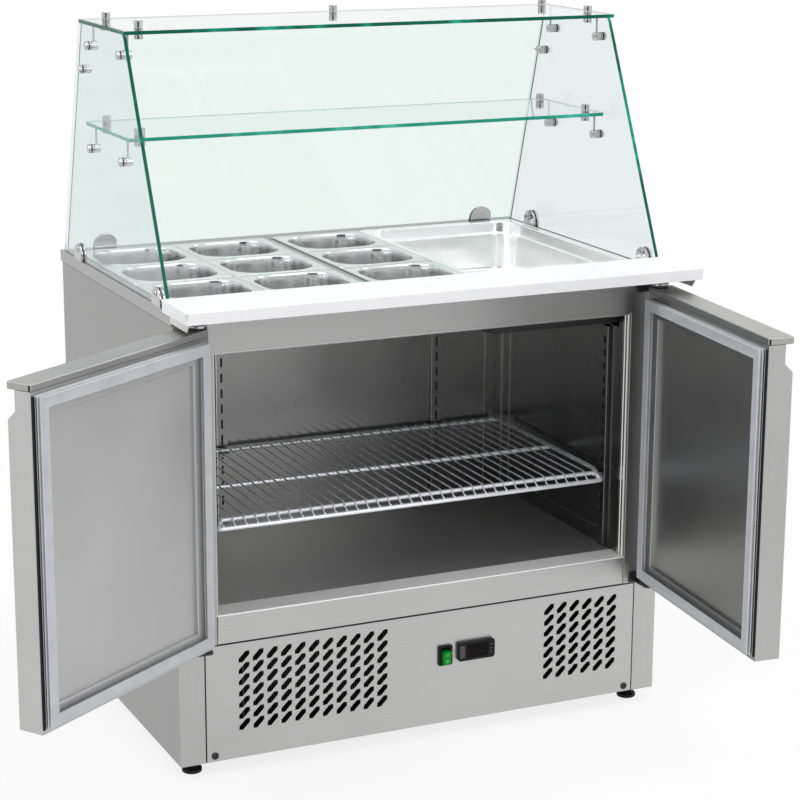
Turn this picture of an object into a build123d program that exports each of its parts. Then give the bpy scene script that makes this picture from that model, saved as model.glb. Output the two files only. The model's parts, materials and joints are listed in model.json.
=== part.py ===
from build123d import *
from math import cos, radians, sin, tan
import os

os.makedirs("parts", exist_ok=True)

# Refrigerated saladette: a stainless counter with two hinged doors, a well of pans and a glass stand
# Millimetres, Z up, the front looks along -Y, the origin is on the floor under the cabinet's centre

# Cabinet
base_height = 25.0
worktop_height = 792.0
sheet = 1.5
top_sheet = 2.0
rim_height = 20.0
rim_side_overhang = 3.0
rim_end_overhang = 2.0
return_width = 15.0

# Lower front
post_width = 44.0
panel_gap = 1.0
lower_front_height = 230.0
rail_height = 50.0
header_height = 70.0
jamb_width = 67.0
floor_lip_depth = 34.0
screw_head_radius = 6.5
screw_head_height = 2.5
screw_side_inset = 15.0
screw_bottom_inset = 10.0

# Air slots
slot_length = 22.0
slot_width = 8.5
slot_angle = 45.0
slot_pitch_x = 25.1
slot_pitch_z = 19.9
slot_rows = 7
left_slot_columns = 11
right_slot_columns = 6
left_slot_margin = 68.0
right_slot_margin = 45.0
slot_top_height = 203.5

# Feet
foot_radius = 13.0
foot_sides = 6
foot_pad_radius = 17.0
foot_pad_height = 8.0
foot_inset_x = 32.0
foot_inset_y = 38.0

# Controls
switch_center_x = 32.0
switch_center_z = 150.0
bezel_width = 26.0
bezel_height = 36.0
bezel_proud = 4.0
bezel_depth = 22.0
bezel_wall = 2.5
rocker_length = 25.0
rocker_clearance = 0.6
rocker_proud = 6.0
rocker_tilt = 8.0
rocker_pivot_radius = 2.0
pivot_clearance = 0.05
control_center_x = 90.0
control_center_z = 152.5
control_width = 70.0
control_height = 34.0
control_proud = 7.0
control_depth = 45.0
control_corner = 5.0
window_width = 41.0
window_height = 25.0
window_offset = 2.0
window_depth = 2.0

# Compartment
cavity_back_wall = 118.0
liner_sheet = 1.0
strip_depth = 20.0
strip_thickness = 3.0
pilaster_width = 21.0
pilaster_depth = 6.0
pilaster_setback = 68.0
pilaster_floor_gap = 2.0
pilaster_top_gap = 3.0
back_pilaster_left = -195.0
back_pilaster_right = 240.0
side_slot_pitch = 24.0
back_slot_pitch = 29.0
side_slot_height = 11.0
side_slot_width = 9.0
back_slot_height = 17.0
back_slot_width = 4.0
side_slot_count = 15
back_slot_count = 13
side_slot_drop = 25.0
back_slot_drop = 13.0

# Wire shelf
shelf_height = 427.0
shelf_side_gap = 13.0
shelf_setback = 48.0
shelf_back_gap = 14.0
shelf_rod = 8.0
shelf_wire = 3.0
shelf_wire_count = 36
shelf_front_drop = 11.0
shelf_front_step = 14.0
middle_rod_shift = 20.0
clip_height = 12.0
clip_thickness = 4.0

# Doors
pivot_inset = 30.0
pivot_drop = 30.0
door_meeting_gap = 4.0
door_heel = 8.0
door_bottom_gap = 10.0
door_top_gap = 1.0
door_cap_height = 12.0
door_outer = 28.0
door_skin_inner = 16.0
grip_depth = 14.0
grip_height = 31.0
cap_outer = 28.0
cap_inner = 17.0
cap_heel = 8.0
door_core_inner = 17.5
door_core_margin = 11.0
panel_sheet = 1.5
gasket_heel = 4.0
gasket_free = 6.0
gasket_bottom_inset = 8.0
gasket_top_inset = 6.0
gasket_width = 19.0
gasket_base = 5.0
gasket_bead_inset = 4.0
gasket_clearance = 0.3
panel_recess = 6.0
left_opening = 146.0
right_opening = 85.0

# Hinges
hinge_pin_radius = 5.0
hinge_pin_bite = 14.0
cartridge_radius = 15.0
cartridge_gap = 0.5
cartridge_height = 11.0
bracket_sheet = 4.0
bracket_leg_sheet = 2.5
bracket_width = 32.0
bracket_leg_width = 25.0
bracket_leg_inset = 14.0
top_leg_height = 28.0
bottom_leg_height = 19.0
bracket_nose = 14.0
bottom_bracket_gap = 4.0
hinge_bolt_radius = 4.0
hinge_bolt_height = 3.0
hinge_bolt_inset = 6.0

# Glass stand
glass = 6.0
small_round_sides = 12
large_round_sides = 24
rod_sides = 6
glass_side_inset = 3.0
glass_front_inset = 19.0
glass_front_setback = 216.0
glass_back_inset = 16.0
glass_back_setback = 140.0
glass_corner = 14.0
stand_height = 416.0
top_shelf_overhang = 1.0
top_shelf_nose = 11.0
top_shelf_back_inset = 6.0
middle_shelf_gap = 4.0
middle_shelf_front_setback = 215.0
middle_shelf_back_setback = 148.0
middle_shelf_drop = 174.0
back_glass_inset = 8.0
back_glass_gap = 0.5
clamp_radius = 21.0
clamp_neck = 9.0
clamp_plate = 4.0
side_clamp_back_setback = 110.0
side_clamp_front_setback = 68.0
back_clamp_x = 375.0
through_radius = 7.5
through_above = 14.0
through_below = 10.0
shelf_clamp_inset = 34.0
shelf_clamp_back_setback = 190.0
shelf_clamp_front_setback = 238.0
standoff_radius = 7.5
standoff_drop = 35.0
standoff_cap = 5.0
standoff_rod = 2.0
back_standoff_height = 338.0
back_standoff_inset = 20.0

# Well and pans
pan_length = 176.0
pan_rows = 3
pan_row_spare = 44.0
small_pan_depth = 65.0
large_pan_length = 325.0
large_pan_width = 530.0
large_pan_depth = 100.0
pan_sheet = 1.0
pan_rim = 10.0
pan_rim_corner = 7.0
pan_wall_inset = 3.0
pan_oval_corner = 48.0
pan_taper = 4.0
pan_gap = 0.5
pan_corner_steps = 4
large_pan_corner = 38.0
large_pan_step = 20.0
large_pan_ledge = 4.0
column_gap = 16.0
well_front_margin = 32.0
well_left_gap = 10.0
well_right_gap = 1.0
well_back_gap = 4.0
bar_ledge = 8.0
bar_height = 6.0
well_wall_gap = 3.0

# Cutting board
board_end_overhang = 12.0
board_width = 118.0
board_thickness = 20.0
board_edge = 2.5
board_glass_gap = 3.0
board_bracket_flange = 26.0
board_bracket_drop = 14.0
board_bracket_slant = 12.0
board_bracket_setback = 10.0

# Machine compartment
machine_wall = 2.0
compressor_radius = 70.0
compressor_height = 120.0
compressor_x = 190.0
compressor_setback = 190.0
compressor_base = 10.0
condenser_width = 250.0
condenser_height = 150.0
condenser_depth = 60.0
condenser_x = -200.0
condenser_setback = 70.0
condenser_fin_count = 9
condenser_fin = 1.5
fan_radius = 66.0
fan_hub_radius = 18.0
fan_hub_depth = 14.0
fan_blade_count = 5
fan_blade_sheet = 2.0
fan_blade_pitch = 28.0
fan_gap = 6.0
fan_motor_width = 44.0
fan_motor_depth = 40.0
fan_shaft_radius = 4.0
fan_bracket_width = 20.0
vent_count = 6
vent_length = 300.0
vent_height = 8.0
vent_pitch = 18.0
vent_first = 60.0

# Derived positions
pan_width = (large_pan_width - pan_row_spare) / pan_rows
pans_across = 3 * pan_length + column_gap + large_pan_length
glass_across = clamp_plate + glass + glass_side_inset - rim_side_overhang
body_width = well_left_gap + pans_across + well_right_gap + 2 * glass_across
well_back_margin = glass_back_inset + back_glass_inset + glass + clamp_plate + well_back_gap
body_depth = well_front_margin + large_pan_width + well_back_margin
half_width = body_width / 2
front = -body_depth / 2
back = body_depth / 2
front_inner = front + sheet
worktop_width = body_width + 2 * rim_side_overhang
worktop_depth = body_depth + 2 * rim_end_overhang
worktop_under = worktop_height - top_sheet
rim_bottom = worktop_height - rim_height
cavity_floor = lower_front_height + rail_height
opening_half = half_width - jamb_width
opening_top = worktop_height - header_height
half_cavity = opening_half
cavity_back = back - cavity_back_wall
pilaster_front = front + pilaster_setback
shelf_front = front + shelf_setback
lower_panel_half = half_width - post_width - panel_gap
lower_panel_top = lower_front_height - panel_gap
left_slot_start = left_slot_margin - lower_panel_half
right_slot_start = lower_panel_half - right_slot_margin - slot_pitch_x * (right_slot_columns - 1)
pivot_x = half_width - pivot_inset
pivot_y = front - pivot_drop
door_reach = pivot_x - door_meeting_gap / 2
door_bottom = lower_front_height + door_bottom_gap
door_cap_top = rim_bottom - door_top_gap
door_top = door_cap_top - door_cap_height
gasket_bottom = door_bottom + gasket_bottom_inset
gasket_top = door_top - gasket_top_inset
glass_outer_x = worktop_width / 2 - glass_side_inset
glass_inner_x = glass_outer_x - glass
glass_top = worktop_height + stand_height
glass_front_bottom = front + glass_front_inset
glass_back_bottom = back - glass_back_inset
glass_front_top = front + glass_front_setback
glass_back_top = back - glass_back_setback
top_shelf_front = glass_front_top - top_shelf_nose
top_shelf_back = glass_back_top - top_shelf_back_inset
middle_bottom = glass_top - middle_shelf_drop
middle_shelf_front = front + middle_shelf_front_setback
middle_shelf_back = back - middle_shelf_back_setback
side_clamp_front = front + side_clamp_front_setback
side_clamp_back = back - side_clamp_back_setback
shelf_clamp_front = front + shelf_clamp_front_setback
shelf_clamp_back = back - shelf_clamp_back_setback
rake_back = (glass_back_bottom - glass_back_top) / stand_height
back_glass_face = glass_back_bottom - back_glass_inset - glass
clamp_face = glass_inner_x - clamp_plate
well_left = well_left_gap - clamp_face
well_back = back_glass_face - clamp_plate - well_back_gap
large_right = clamp_face - well_right_gap
large_left = large_right - large_pan_length
column_starts = [
    well_left,
    well_left + pan_length,
    large_left - pan_length,
]
row_backs = [well_back - row * pan_width for row in range(pan_rows)]
well_front = well_back - large_pan_width
opening_left = well_left + pan_rim
opening_right = large_right - pan_rim
opening_back = well_back - pan_rim
opening_front = well_front + pan_rim
board_back = glass_front_bottom - board_glass_gap
board_front = board_back - board_width
board_bottom = worktop_height + sheet
compressor_y = back - compressor_setback
condenser_y = front + condenser_setback


def save(piece, name):
    piece.part.label = name
    export_step(piece.part, "parts/" + name + ".step")


def pan_outline(length, width, corner):
    # A rectangle whose corners follow an arc in a few equal steps
    points = []
    for turn, (side_x, side_y) in enumerate(((1, 1), (-1, 1), (-1, -1), (1, -1))):
        for step in range(pan_corner_steps + 1):
            angle = radians(90 * turn + 90 * step / pan_corner_steps)
            points.append((
                side_x * (length / 2 - corner) + corner * cos(angle),
                side_y * (width / 2 - corner) + corner * sin(angle),
            ))
    Polygon(*points, align=None)


# Outer cabinet

# Side panels: one sheet each with a return folded in at the back and along the bottom
for side, name in ((-1, "left_side_panel"), (1, "right_side_panel")):
    wall_center = side * (half_width - sheet / 2)
    fold_center = side * (half_width - sheet - return_width / 2)
    with BuildPart() as side_panel:
        with BuildSketch(Plane.XY.offset(base_height)):
            with Locations((wall_center, (front_inner + back - sheet) / 2)):
                Rectangle(sheet, back - sheet - front_inner)
            with Locations((fold_center, back - sheet - sheet / 2)):
                Rectangle(return_width, sheet)
        extrude(amount=worktop_under - base_height)
        with BuildSketch(Plane.XY.offset(base_height)):
            with Locations((fold_center, (front_inner + back - sheet) / 2)):
                Rectangle(return_width, back - sheet - front_inner)
        extrude(amount=sheet)
    save(side_panel, name)

# Back panel: a plain sheet with a block of air slots behind the machine
with BuildPart() as back_panel:
    with BuildSketch(Plane.XZ.offset(-(back - sheet))):
        with Locations((0, (base_height + worktop_under) / 2)):
            Rectangle(body_width, worktop_under - base_height)
        with Locations((0, base_height + vent_first + vent_pitch * (vent_count - 1) / 2)):
            with GridLocations(vent_length, vent_pitch, 1, vent_count):
                Rectangle(vent_length, vent_height, mode=Mode.SUBTRACT)
    extrude(amount=-sheet)
save(back_panel, "back_panel")

# Base pan: a shallow tray between the side panels
tray_width = body_width - 2 * sheet - 2 * return_width
tray_front = front + return_width
tray_middle = (tray_front + back - sheet) / 2
tray_depth = back - sheet - tray_front
with BuildPart() as base_pan:
    with BuildSketch(Plane.XY.offset(base_height)):
        with Locations((0, tray_middle)):
            Rectangle(tray_width, tray_depth)
    extrude(amount=return_width)
    with BuildSketch(Plane.XY.offset(base_height + machine_wall)):
        with Locations((0, tray_middle)):
            Rectangle(tray_width - 2 * machine_wall, tray_depth - 2 * machine_wall)
    extrude(amount=return_width, mode=Mode.SUBTRACT)
save(base_pan, "base_pan")

# Worktop: a folded tray turned over the cabinet, with the well cut out of it
with BuildPart() as worktop:
    with BuildSketch(Plane.XY.offset(rim_bottom)):
        Rectangle(worktop_width, worktop_depth)
    extrude(amount=rim_height)
    with BuildSketch(Plane.XY.offset(rim_bottom)):
        Rectangle(worktop_width - 2 * sheet, worktop_depth - 2 * sheet)
    extrude(amount=rim_height - top_sheet, mode=Mode.SUBTRACT)
    with BuildSketch(Plane.XY.offset(worktop_under)):
        with Locations(((opening_left + opening_right) / 2, (opening_front + opening_back) / 2)):
            Rectangle(opening_right - opening_left, opening_back - opening_front)
    extrude(amount=top_sheet, mode=Mode.SUBTRACT)
save(worktop, "worktop")

# Front frame: header and both jambs in one sheet
with BuildPart() as front_frame:
    with BuildSketch(Plane.XZ.offset(-front_inner)):
        with Locations((0, (lower_front_height + worktop_under) / 2)):
            Rectangle(body_width, worktop_under - lower_front_height)
        with Locations((0, (lower_front_height + opening_top) / 2)):
            Rectangle(2 * opening_half, opening_top - lower_front_height, mode=Mode.SUBTRACT)
    extrude(amount=sheet)
save(front_frame, "front_frame")

# Bottom rail: face sheet and the lip it folds into as the front of the compartment's floor
rail_half = opening_half - panel_gap / 2
with BuildPart() as bottom_rail:
    with BuildSketch(Plane.YZ.offset(-rail_half)):
        with Locations((front + sheet / 2, (lower_front_height + cavity_floor) / 2)):
            Rectangle(sheet, cavity_floor - lower_front_height)
        with Locations((front + floor_lip_depth / 2, cavity_floor - sheet / 2)):
            Rectangle(floor_lip_depth, sheet)
        with Locations((front + return_width / 2, lower_front_height + sheet / 2)):
            Rectangle(return_width, sheet)
    extrude(amount=2 * rail_half)
save(bottom_rail, "bottom_rail")

# Corner posts: a channel on each side of the lower panel
with BuildPart() as corner_posts:
    with BuildSketch(Plane.XY.offset(base_height)):
        for side in (-1, 1):
            with Locations((side * (half_width - post_width / 2), front + sheet / 2)):
                Rectangle(post_width, sheet)
            with Locations((side * (half_width - post_width + sheet / 2), front + return_width / 2)):
                Rectangle(sheet, return_width)
    extrude(amount=lower_front_height - base_height)
save(corner_posts, "corner_posts")

# Lower panel: sheet with two fields of slanted air slots and the openings for the controls
panel_bottom = base_height + panel_gap
slot_middle = slot_top_height - slot_pitch_z * (slot_rows - 1) / 2
with BuildPart() as lower_panel:
    with BuildSketch(Plane.XZ.offset(-front_inner)):
        with Locations((0, (panel_bottom + lower_panel_top) / 2)):
            Rectangle(2 * lower_panel_half, lower_panel_top - panel_bottom)
        for start_x, columns in (
            (left_slot_start, left_slot_columns),
            (right_slot_start, right_slot_columns),
        ):
            with Locations((start_x + slot_pitch_x * (columns - 1) / 2, slot_middle)):
                with GridLocations(slot_pitch_x, slot_pitch_z, columns, slot_rows):
                    Rectangle(slot_length, slot_width, rotation=slot_angle, mode=Mode.SUBTRACT)
        with Locations((switch_center_x, switch_center_z)):
            Rectangle(bezel_width - 2 * bezel_wall, bezel_height - 2 * bezel_wall, mode=Mode.SUBTRACT)
        with Locations((control_center_x, control_center_z)):
            Rectangle(control_width - 2 * bezel_wall, control_height - 2 * bezel_wall, mode=Mode.SUBTRACT)
    extrude(amount=sheet)
    with BuildSketch(Plane.XZ.offset(-front_inner)):
        with Locations((0, lower_panel_top - sheet / 2), (0, panel_bottom + sheet / 2)):
            Rectangle(2 * lower_panel_half, sheet)
    extrude(amount=-(return_width - sheet))
save(lower_panel, "lower_panel")

# Panel screws: two round heads at the lower corners
screw_x = lower_panel_half - screw_side_inset
screw_z = panel_bottom + screw_bottom_inset
with BuildPart() as panel_screws:
    with BuildSketch(Plane.XZ.offset(-front)):
        with Locations((-screw_x, screw_z), (screw_x, screw_z)):
            RegularPolygon(screw_head_radius, small_round_sides)
    extrude(amount=screw_head_height)
save(panel_screws, "panel_screws")

# Feet: a six-sided collar on a round pad
foot_x = half_width - foot_inset_x
foot_y = back - foot_inset_y
with BuildPart() as feet:
    with BuildSketch(Plane.XY):
        with GridLocations(2 * foot_x, 2 * foot_y, 2, 2):
            Circle(foot_pad_radius)
    extrude(amount=foot_pad_height)
    with BuildSketch(Plane.XY.offset(foot_pad_height)):
        with GridLocations(2 * foot_x, 2 * foot_y, 2, 2):
            RegularPolygon(foot_radius, foot_sides)
    extrude(amount=base_height - foot_pad_height)
save(feet, "feet")

# Controls

# Switch bezel: a rectangular tube with a flange that lies on the panel, bored for the rocker's pivot
bezel_mouth = front - bezel_proud
pivot_depth = front + bezel_depth / 3
hole_width = bezel_width - 2 * bezel_wall
hole_height = bezel_height - 2 * bezel_wall
rocker_width = hole_width - 2 * bezel_wall - 2 * rocker_clearance
with BuildPart() as switch_bezel:
    with BuildSketch(Plane.XZ.offset(-front)):
        with Locations((switch_center_x, switch_center_z)):
            RectangleRounded(bezel_width, bezel_height, bezel_wall)
    extrude(amount=bezel_proud)
    with BuildSketch(Plane.XZ.offset(-front)):
        with Locations((switch_center_x, switch_center_z)):
            Rectangle(hole_width, hole_height)
    extrude(amount=-bezel_depth)
    with BuildSketch(Plane.XZ.offset(-bezel_mouth)):
        with Locations((switch_center_x, switch_center_z)):
            Rectangle(hole_width - 2 * bezel_wall, hole_height - bezel_wall)
    extrude(amount=-(bezel_proud + bezel_depth - bezel_wall), mode=Mode.SUBTRACT)
    with BuildSketch(Plane.YZ.offset(switch_center_x - hole_width / 2)):
        with Locations((pivot_depth, switch_center_z)):
            Circle(rocker_pivot_radius + pivot_clearance)
    extrude(amount=hole_width, mode=Mode.SUBTRACT)
save(switch_bezel, "switch_bezel")

# Rocker: a shallow wedge on a cross pin, tipped with its lower end in
rocker_face = bezel_mouth - rocker_proud
tip = rocker_proud / 2
with BuildPart() as rocker_switch:
    with BuildSketch(Plane.YZ.offset(switch_center_x - rocker_width / 2)):
        with Locations((pivot_depth, switch_center_z)):
            with Locations(Location((0, 0, 0), (0, 0, rocker_tilt))):
                Polygon(
                    (rocker_face - pivot_depth, 0),
                    (rocker_face - pivot_depth - tip, rocker_length / 2),
                    (rocker_pivot_radius, rocker_length / 4),
                    (rocker_pivot_radius, -rocker_length / 4),
                    (rocker_face - pivot_depth - tip, -rocker_length / 2),
                    align=None,
                )
    extrude(amount=rocker_width)
    with BuildSketch(Plane.YZ.offset(switch_center_x - hole_width / 2)):
        with Locations((pivot_depth, switch_center_z)):
            Circle(rocker_pivot_radius)
    extrude(amount=hole_width)
save(rocker_switch, "rocker_switch")

# Controller: a shallow rounded front on a box that passes through the panel
with BuildPart() as controller:
    with BuildSketch(Plane.XZ.offset(-front)):
        with Locations((control_center_x, control_center_z)):
            RectangleRounded(control_width, control_height, control_corner)
    extrude(amount=control_proud)
    with BuildSketch(Plane.XZ.offset(-(front - control_proud))):
        with Locations((control_center_x + window_offset, control_center_z)):
            Rectangle(window_width, window_height)
    extrude(amount=-window_depth, mode=Mode.SUBTRACT)
    with BuildSketch(Plane.XZ.offset(-front)):
        with Locations((control_center_x, control_center_z)):
            Rectangle(control_width - 2 * bezel_wall, control_height - 2 * bezel_wall)
    extrude(amount=-control_depth)
save(controller, "controller")

# Controller window: the dark pane set into the front
with BuildPart() as controller_window:
    with BuildSketch(Plane.XZ.offset(-(front - control_proud + window_depth))):
        with Locations((control_center_x + window_offset, control_center_z)):
            Rectangle(window_width, window_height)
    extrude(amount=window_depth / 2)
save(controller_window, "controller_window")

# Compartment

# Liner: the inner box, stepped outwards at the top where the pans hang, with its front and top open
liner_front = front_inner
lip_back = front + floor_lip_depth
step_floor = worktop_height - large_pan_depth - well_wall_gap - liner_sheet
liner_half = half_cavity + liner_sheet
liner_back = cavity_back + liner_sheet
upper_half = opening_right + well_wall_gap + liner_sheet
upper_front = opening_front - well_wall_gap - liner_sheet
upper_back = opening_back + well_wall_gap + liner_sheet
with BuildPart() as liner_envelope:
    with BuildSketch(Plane.XY.offset(cavity_floor - liner_sheet)):
        with Locations((0, (lip_back + liner_back) / 2)):
            Rectangle(2 * liner_half, liner_back - lip_back)
    extrude(amount=liner_sheet)
    with BuildSketch(Plane.XY.offset(cavity_floor)):
        with Locations((0, (liner_front + liner_back) / 2)):
            Rectangle(2 * liner_half, liner_back - liner_front)
    extrude(amount=step_floor - cavity_floor)
    with BuildSketch(Plane.XY.offset(step_floor)):
        with Locations((0, (liner_front + upper_front + liner_sheet) / 2)):
            Rectangle(2 * liner_half, upper_front + liner_sheet - liner_front)
    extrude(amount=opening_top + liner_sheet - step_floor)
    with BuildSketch(Plane.XY.offset(step_floor)):
        with Locations((0, (upper_front + upper_back) / 2)):
            Rectangle(2 * upper_half, upper_back - upper_front)
    extrude(amount=worktop_under - step_floor)
with BuildPart() as liner:
    add(liner_envelope.part)
    with BuildSketch(Plane.XY.offset(cavity_floor)):
        with Locations((0, (liner_front + cavity_back) / 2)):
            Rectangle(2 * half_cavity, cavity_back - liner_front)
    extrude(amount=step_floor + liner_sheet - cavity_floor, mode=Mode.SUBTRACT)
    with BuildSketch(Plane.XY.offset(step_floor)):
        with Locations((0, (liner_front + upper_front + liner_sheet) / 2)):
            Rectangle(2 * half_cavity, upper_front + liner_sheet - liner_front)
    extrude(amount=opening_top - step_floor, mode=Mode.SUBTRACT)
    with BuildSketch(Plane.XY.offset(step_floor + liner_sheet)):
        with Locations((0, (upper_front + upper_back) / 2)):
            Rectangle(2 * (upper_half - liner_sheet), upper_back - upper_front - 2 * liner_sheet)
    extrude(amount=worktop_under - step_floor - liner_sheet, mode=Mode.SUBTRACT)
save(liner, "liner")

# Insulation: foam between the liner and the outer sheets, above the machine compartment
foam_half = half_width - sheet
foam_back = back - 2 * sheet
foam_bottom = lower_front_height + sheet
rail_back = front + return_width
with BuildPart() as insulation:
    with BuildSketch(Plane.XY.offset(foam_bottom)):
        with Locations((0, (liner_front + foam_back) / 2)):
            Rectangle(2 * foam_half, foam_back - liner_front)
    extrude(amount=worktop_under - foam_bottom)
    with BuildSketch(Plane.XY.offset(foam_bottom)):
        with Locations((0, (liner_front + rail_back) / 2)):
            Rectangle(2 * opening_half, rail_back - liner_front)
    extrude(amount=cavity_floor - foam_bottom, mode=Mode.SUBTRACT)
    with BuildSketch(Plane.XY.offset(cavity_floor - sheet)):
        with Locations((0, (liner_front + lip_back) / 2)):
            Rectangle(2 * liner_half, lip_back - liner_front)
    extrude(amount=sheet, mode=Mode.SUBTRACT)
    add(liner_envelope.part, mode=Mode.SUBTRACT)
save(insulation, "insulation")

# Breaker strip: the bright profile round the sides and the top of the opening
with BuildPart() as breaker_strip:
    with BuildSketch(Plane.XZ.offset(-liner_front)):
        with Locations((0, (cavity_floor + opening_top) / 2)):
            Rectangle(2 * half_cavity, opening_top - cavity_floor)
        with Locations((0, (cavity_floor + opening_top - strip_thickness) / 2)):
            Rectangle(
                2 * (half_cavity - strip_thickness),
                opening_top - strip_thickness - cavity_floor,
                mode=Mode.SUBTRACT,
            )
    extrude(amount=-strip_depth)
save(breaker_strip, "breaker_strip")

# Pilasters: four slotted channels, two on the side walls and two on the back wall
pilaster_bottom = cavity_floor + pilaster_floor_gap
pilaster_top = step_floor - pilaster_top_gap
side_face = half_cavity - pilaster_depth
back_face = cavity_back - pilaster_depth
back_pilasters = (back_pilaster_left, back_pilaster_right)
side_pilaster_y = pilaster_front + pilaster_width / 2
side_slot_middle = pilaster_top - side_slot_drop - side_slot_pitch * (side_slot_count - 1) / 2
back_slot_middle = pilaster_top - back_slot_drop - back_slot_pitch * (back_slot_count - 1) / 2
with BuildPart() as pilasters:
    with BuildSketch(Plane.XY.offset(pilaster_bottom)):
        for side in (-1, 1):
            with Locations((side * (side_face + pilaster_depth / 2), side_pilaster_y)):
                Rectangle(pilaster_depth, pilaster_width)
            with Locations((side * (side_face + sheet + pilaster_depth / 2), side_pilaster_y)):
                Rectangle(pilaster_depth, pilaster_width - 2 * sheet, mode=Mode.SUBTRACT)
        for pilaster_x in back_pilasters:
            with Locations((pilaster_x, back_face + pilaster_depth / 2)):
                Rectangle(pilaster_width, pilaster_depth)
            with Locations((pilaster_x, back_face + sheet + pilaster_depth / 2)):
                Rectangle(pilaster_width - 2 * sheet, pilaster_depth, mode=Mode.SUBTRACT)
    extrude(amount=pilaster_top - pilaster_bottom)
    with BuildSketch(Plane.YZ.offset(-side_face - sheet)):
        with Locations((side_pilaster_y, side_slot_middle)):
            with GridLocations(side_slot_pitch, side_slot_pitch, 1, side_slot_count):
                Rectangle(side_slot_width, side_slot_height)
    extrude(amount=2 * (side_face + sheet), mode=Mode.SUBTRACT)
    with BuildSketch(Plane.XZ.offset(-back_face)):
        with Locations(*((pilaster_x, back_slot_middle) for pilaster_x in back_pilasters)):
            with GridLocations(back_slot_pitch, back_slot_pitch, 1, back_slot_count):
                Rectangle(back_slot_width, back_slot_height)
    extrude(amount=-sheet, mode=Mode.SUBTRACT)
save(pilasters, "pilasters")

# Wire shelf: square bars, with the wires turned down over the front rail to a second rail
shelf_half = half_cavity - shelf_side_gap
shelf_back = cavity_back - shelf_back_gap
rod_under = shelf_height - shelf_rod
upper_rail_y = shelf_front + shelf_front_step
upper_rail_front = upper_rail_y - shelf_rod / 2
lower_rail_back = shelf_front + shelf_rod / 2
lower_rail_front = shelf_front - shelf_rod / 2
lower_rail_top = shelf_height - shelf_front_drop
wire_top = shelf_height + shelf_wire
middle_rod_y = (upper_rail_y + shelf_back) / 2 - middle_rod_shift
wire_span = 2 * shelf_half - 2 * shelf_rod
wire_pitch = wire_span / shelf_wire_count
with BuildPart() as wire_shelf:
    with BuildSketch(Plane.YZ.offset(-wire_span / 2 + wire_pitch / 2 - shelf_wire / 2)):
        Polygon(
            (shelf_back, shelf_height),
            (upper_rail_front, shelf_height),
            (lower_rail_back, lower_rail_top),
            (lower_rail_front, lower_rail_top),
            (lower_rail_front, lower_rail_top + shelf_wire),
            (shelf_front, lower_rail_top + shelf_wire),
            (upper_rail_front - shelf_wire, wire_top),
            (shelf_back, wire_top),
            align=None,
        )
    extrude(amount=shelf_wire)
    wire = wire_shelf.part
    for index in range(1, shelf_wire_count):
        add(wire.moved(Location((index * wire_pitch, 0, 0))))
    with BuildSketch(Plane.XY.offset(rod_under)):
        with Locations((0, shelf_back - shelf_rod / 2), (0, middle_rod_y), (0, upper_rail_y)):
            Rectangle(2 * shelf_half, shelf_rod)
    extrude(amount=shelf_rod)
    with BuildSketch(Plane.XY.offset(lower_rail_top - shelf_rod)):
        with Locations((0, shelf_front)):
            Rectangle(2 * shelf_half, shelf_rod)
    extrude(amount=shelf_rod)
    for side in (-1, 1):
        with BuildSketch(Plane.YZ.offset(side * (shelf_half - shelf_rod / 2) - shelf_rod / 2)):
            Polygon(
                (shelf_back, rod_under),
                (upper_rail_front, rod_under),
                (lower_rail_back, lower_rail_top - shelf_rod),
                (lower_rail_front, lower_rail_top - shelf_rod),
                (lower_rail_front, lower_rail_top),
                (upper_rail_front - shelf_wire, shelf_height),
                (shelf_back, shelf_height),
                align=None,
            )
        extrude(amount=shelf_rod)
save(wire_shelf, "wire_shelf")

# Shelf clips: four small brackets that reach from the pilasters under the shelf
clip_width = pilaster_width - 2 * clip_thickness
clip_reach = shelf_side_gap - pilaster_depth + 2 * shelf_rod
clip_reach_back = shelf_back_gap - pilaster_depth + 2 * shelf_rod
with BuildPart() as shelf_clips:
    with BuildSketch(Plane.XY.offset(rod_under - clip_thickness)):
        for side in (-1, 1):
            with Locations((side * (side_face - clip_reach / 2), side_pilaster_y)):
                Rectangle(clip_reach, clip_width)
        for pilaster_x in back_pilasters:
            with Locations((pilaster_x, back_face - clip_reach_back / 2)):
                Rectangle(clip_width, clip_reach_back)
    extrude(amount=clip_thickness)
    with BuildSketch(Plane.XY.offset(rod_under - clip_height)):
        for side in (-1, 1):
            with Locations((side * (side_face - sheet), side_pilaster_y)):
                Rectangle(2 * sheet, clip_width)
        for pilaster_x in back_pilasters:
            with Locations((pilaster_x, back_face - sheet)):
                Rectangle(clip_width, 2 * sheet)
    extrude(amount=clip_height)
save(shelf_clips, "shelf_clips")

# Hinges

# Hinge brackets: angle brackets with a rounded nose, above and below each door
bracket_front = pivot_y - bracket_nose
leg_x = pivot_x - bracket_leg_inset
rim_front = -worktop_depth / 2
cartridge_bottom = door_cap_top + cartridge_gap
top_plate = cartridge_bottom + cartridge_height
bottom_plate = door_bottom - bottom_bracket_gap - bracket_sheet
with BuildPart() as hinge_brackets:
    for plate, leg_middle, leg_height, face in (
        (top_plate, top_plate + bracket_sheet - top_leg_height / 2, top_leg_height, rim_front),
        (bottom_plate, bottom_plate + bottom_leg_height / 2, bottom_leg_height, front),
    ):
        with BuildSketch(Plane.XY.offset(plate)):
            for side in (-1, 1):
                with Locations((side * pivot_x, (bracket_front + face) / 2)):
                    Rectangle(bracket_width, face - bracket_front)
        extrude(amount=bracket_sheet)
        with BuildSketch(Plane.XZ.offset(-face)):
            for side in (-1, 1):
                with Locations((side * leg_x, leg_middle)):
                    Rectangle(bracket_leg_width, leg_height)
        extrude(amount=bracket_leg_sheet)
    nose_edges = hinge_brackets.edges().filter_by(Axis.Z).group_by(Axis.Y)[0]
    fillet(nose_edges, radius=bracket_nose / 2)
save(hinge_brackets, "hinge_brackets")

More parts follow.
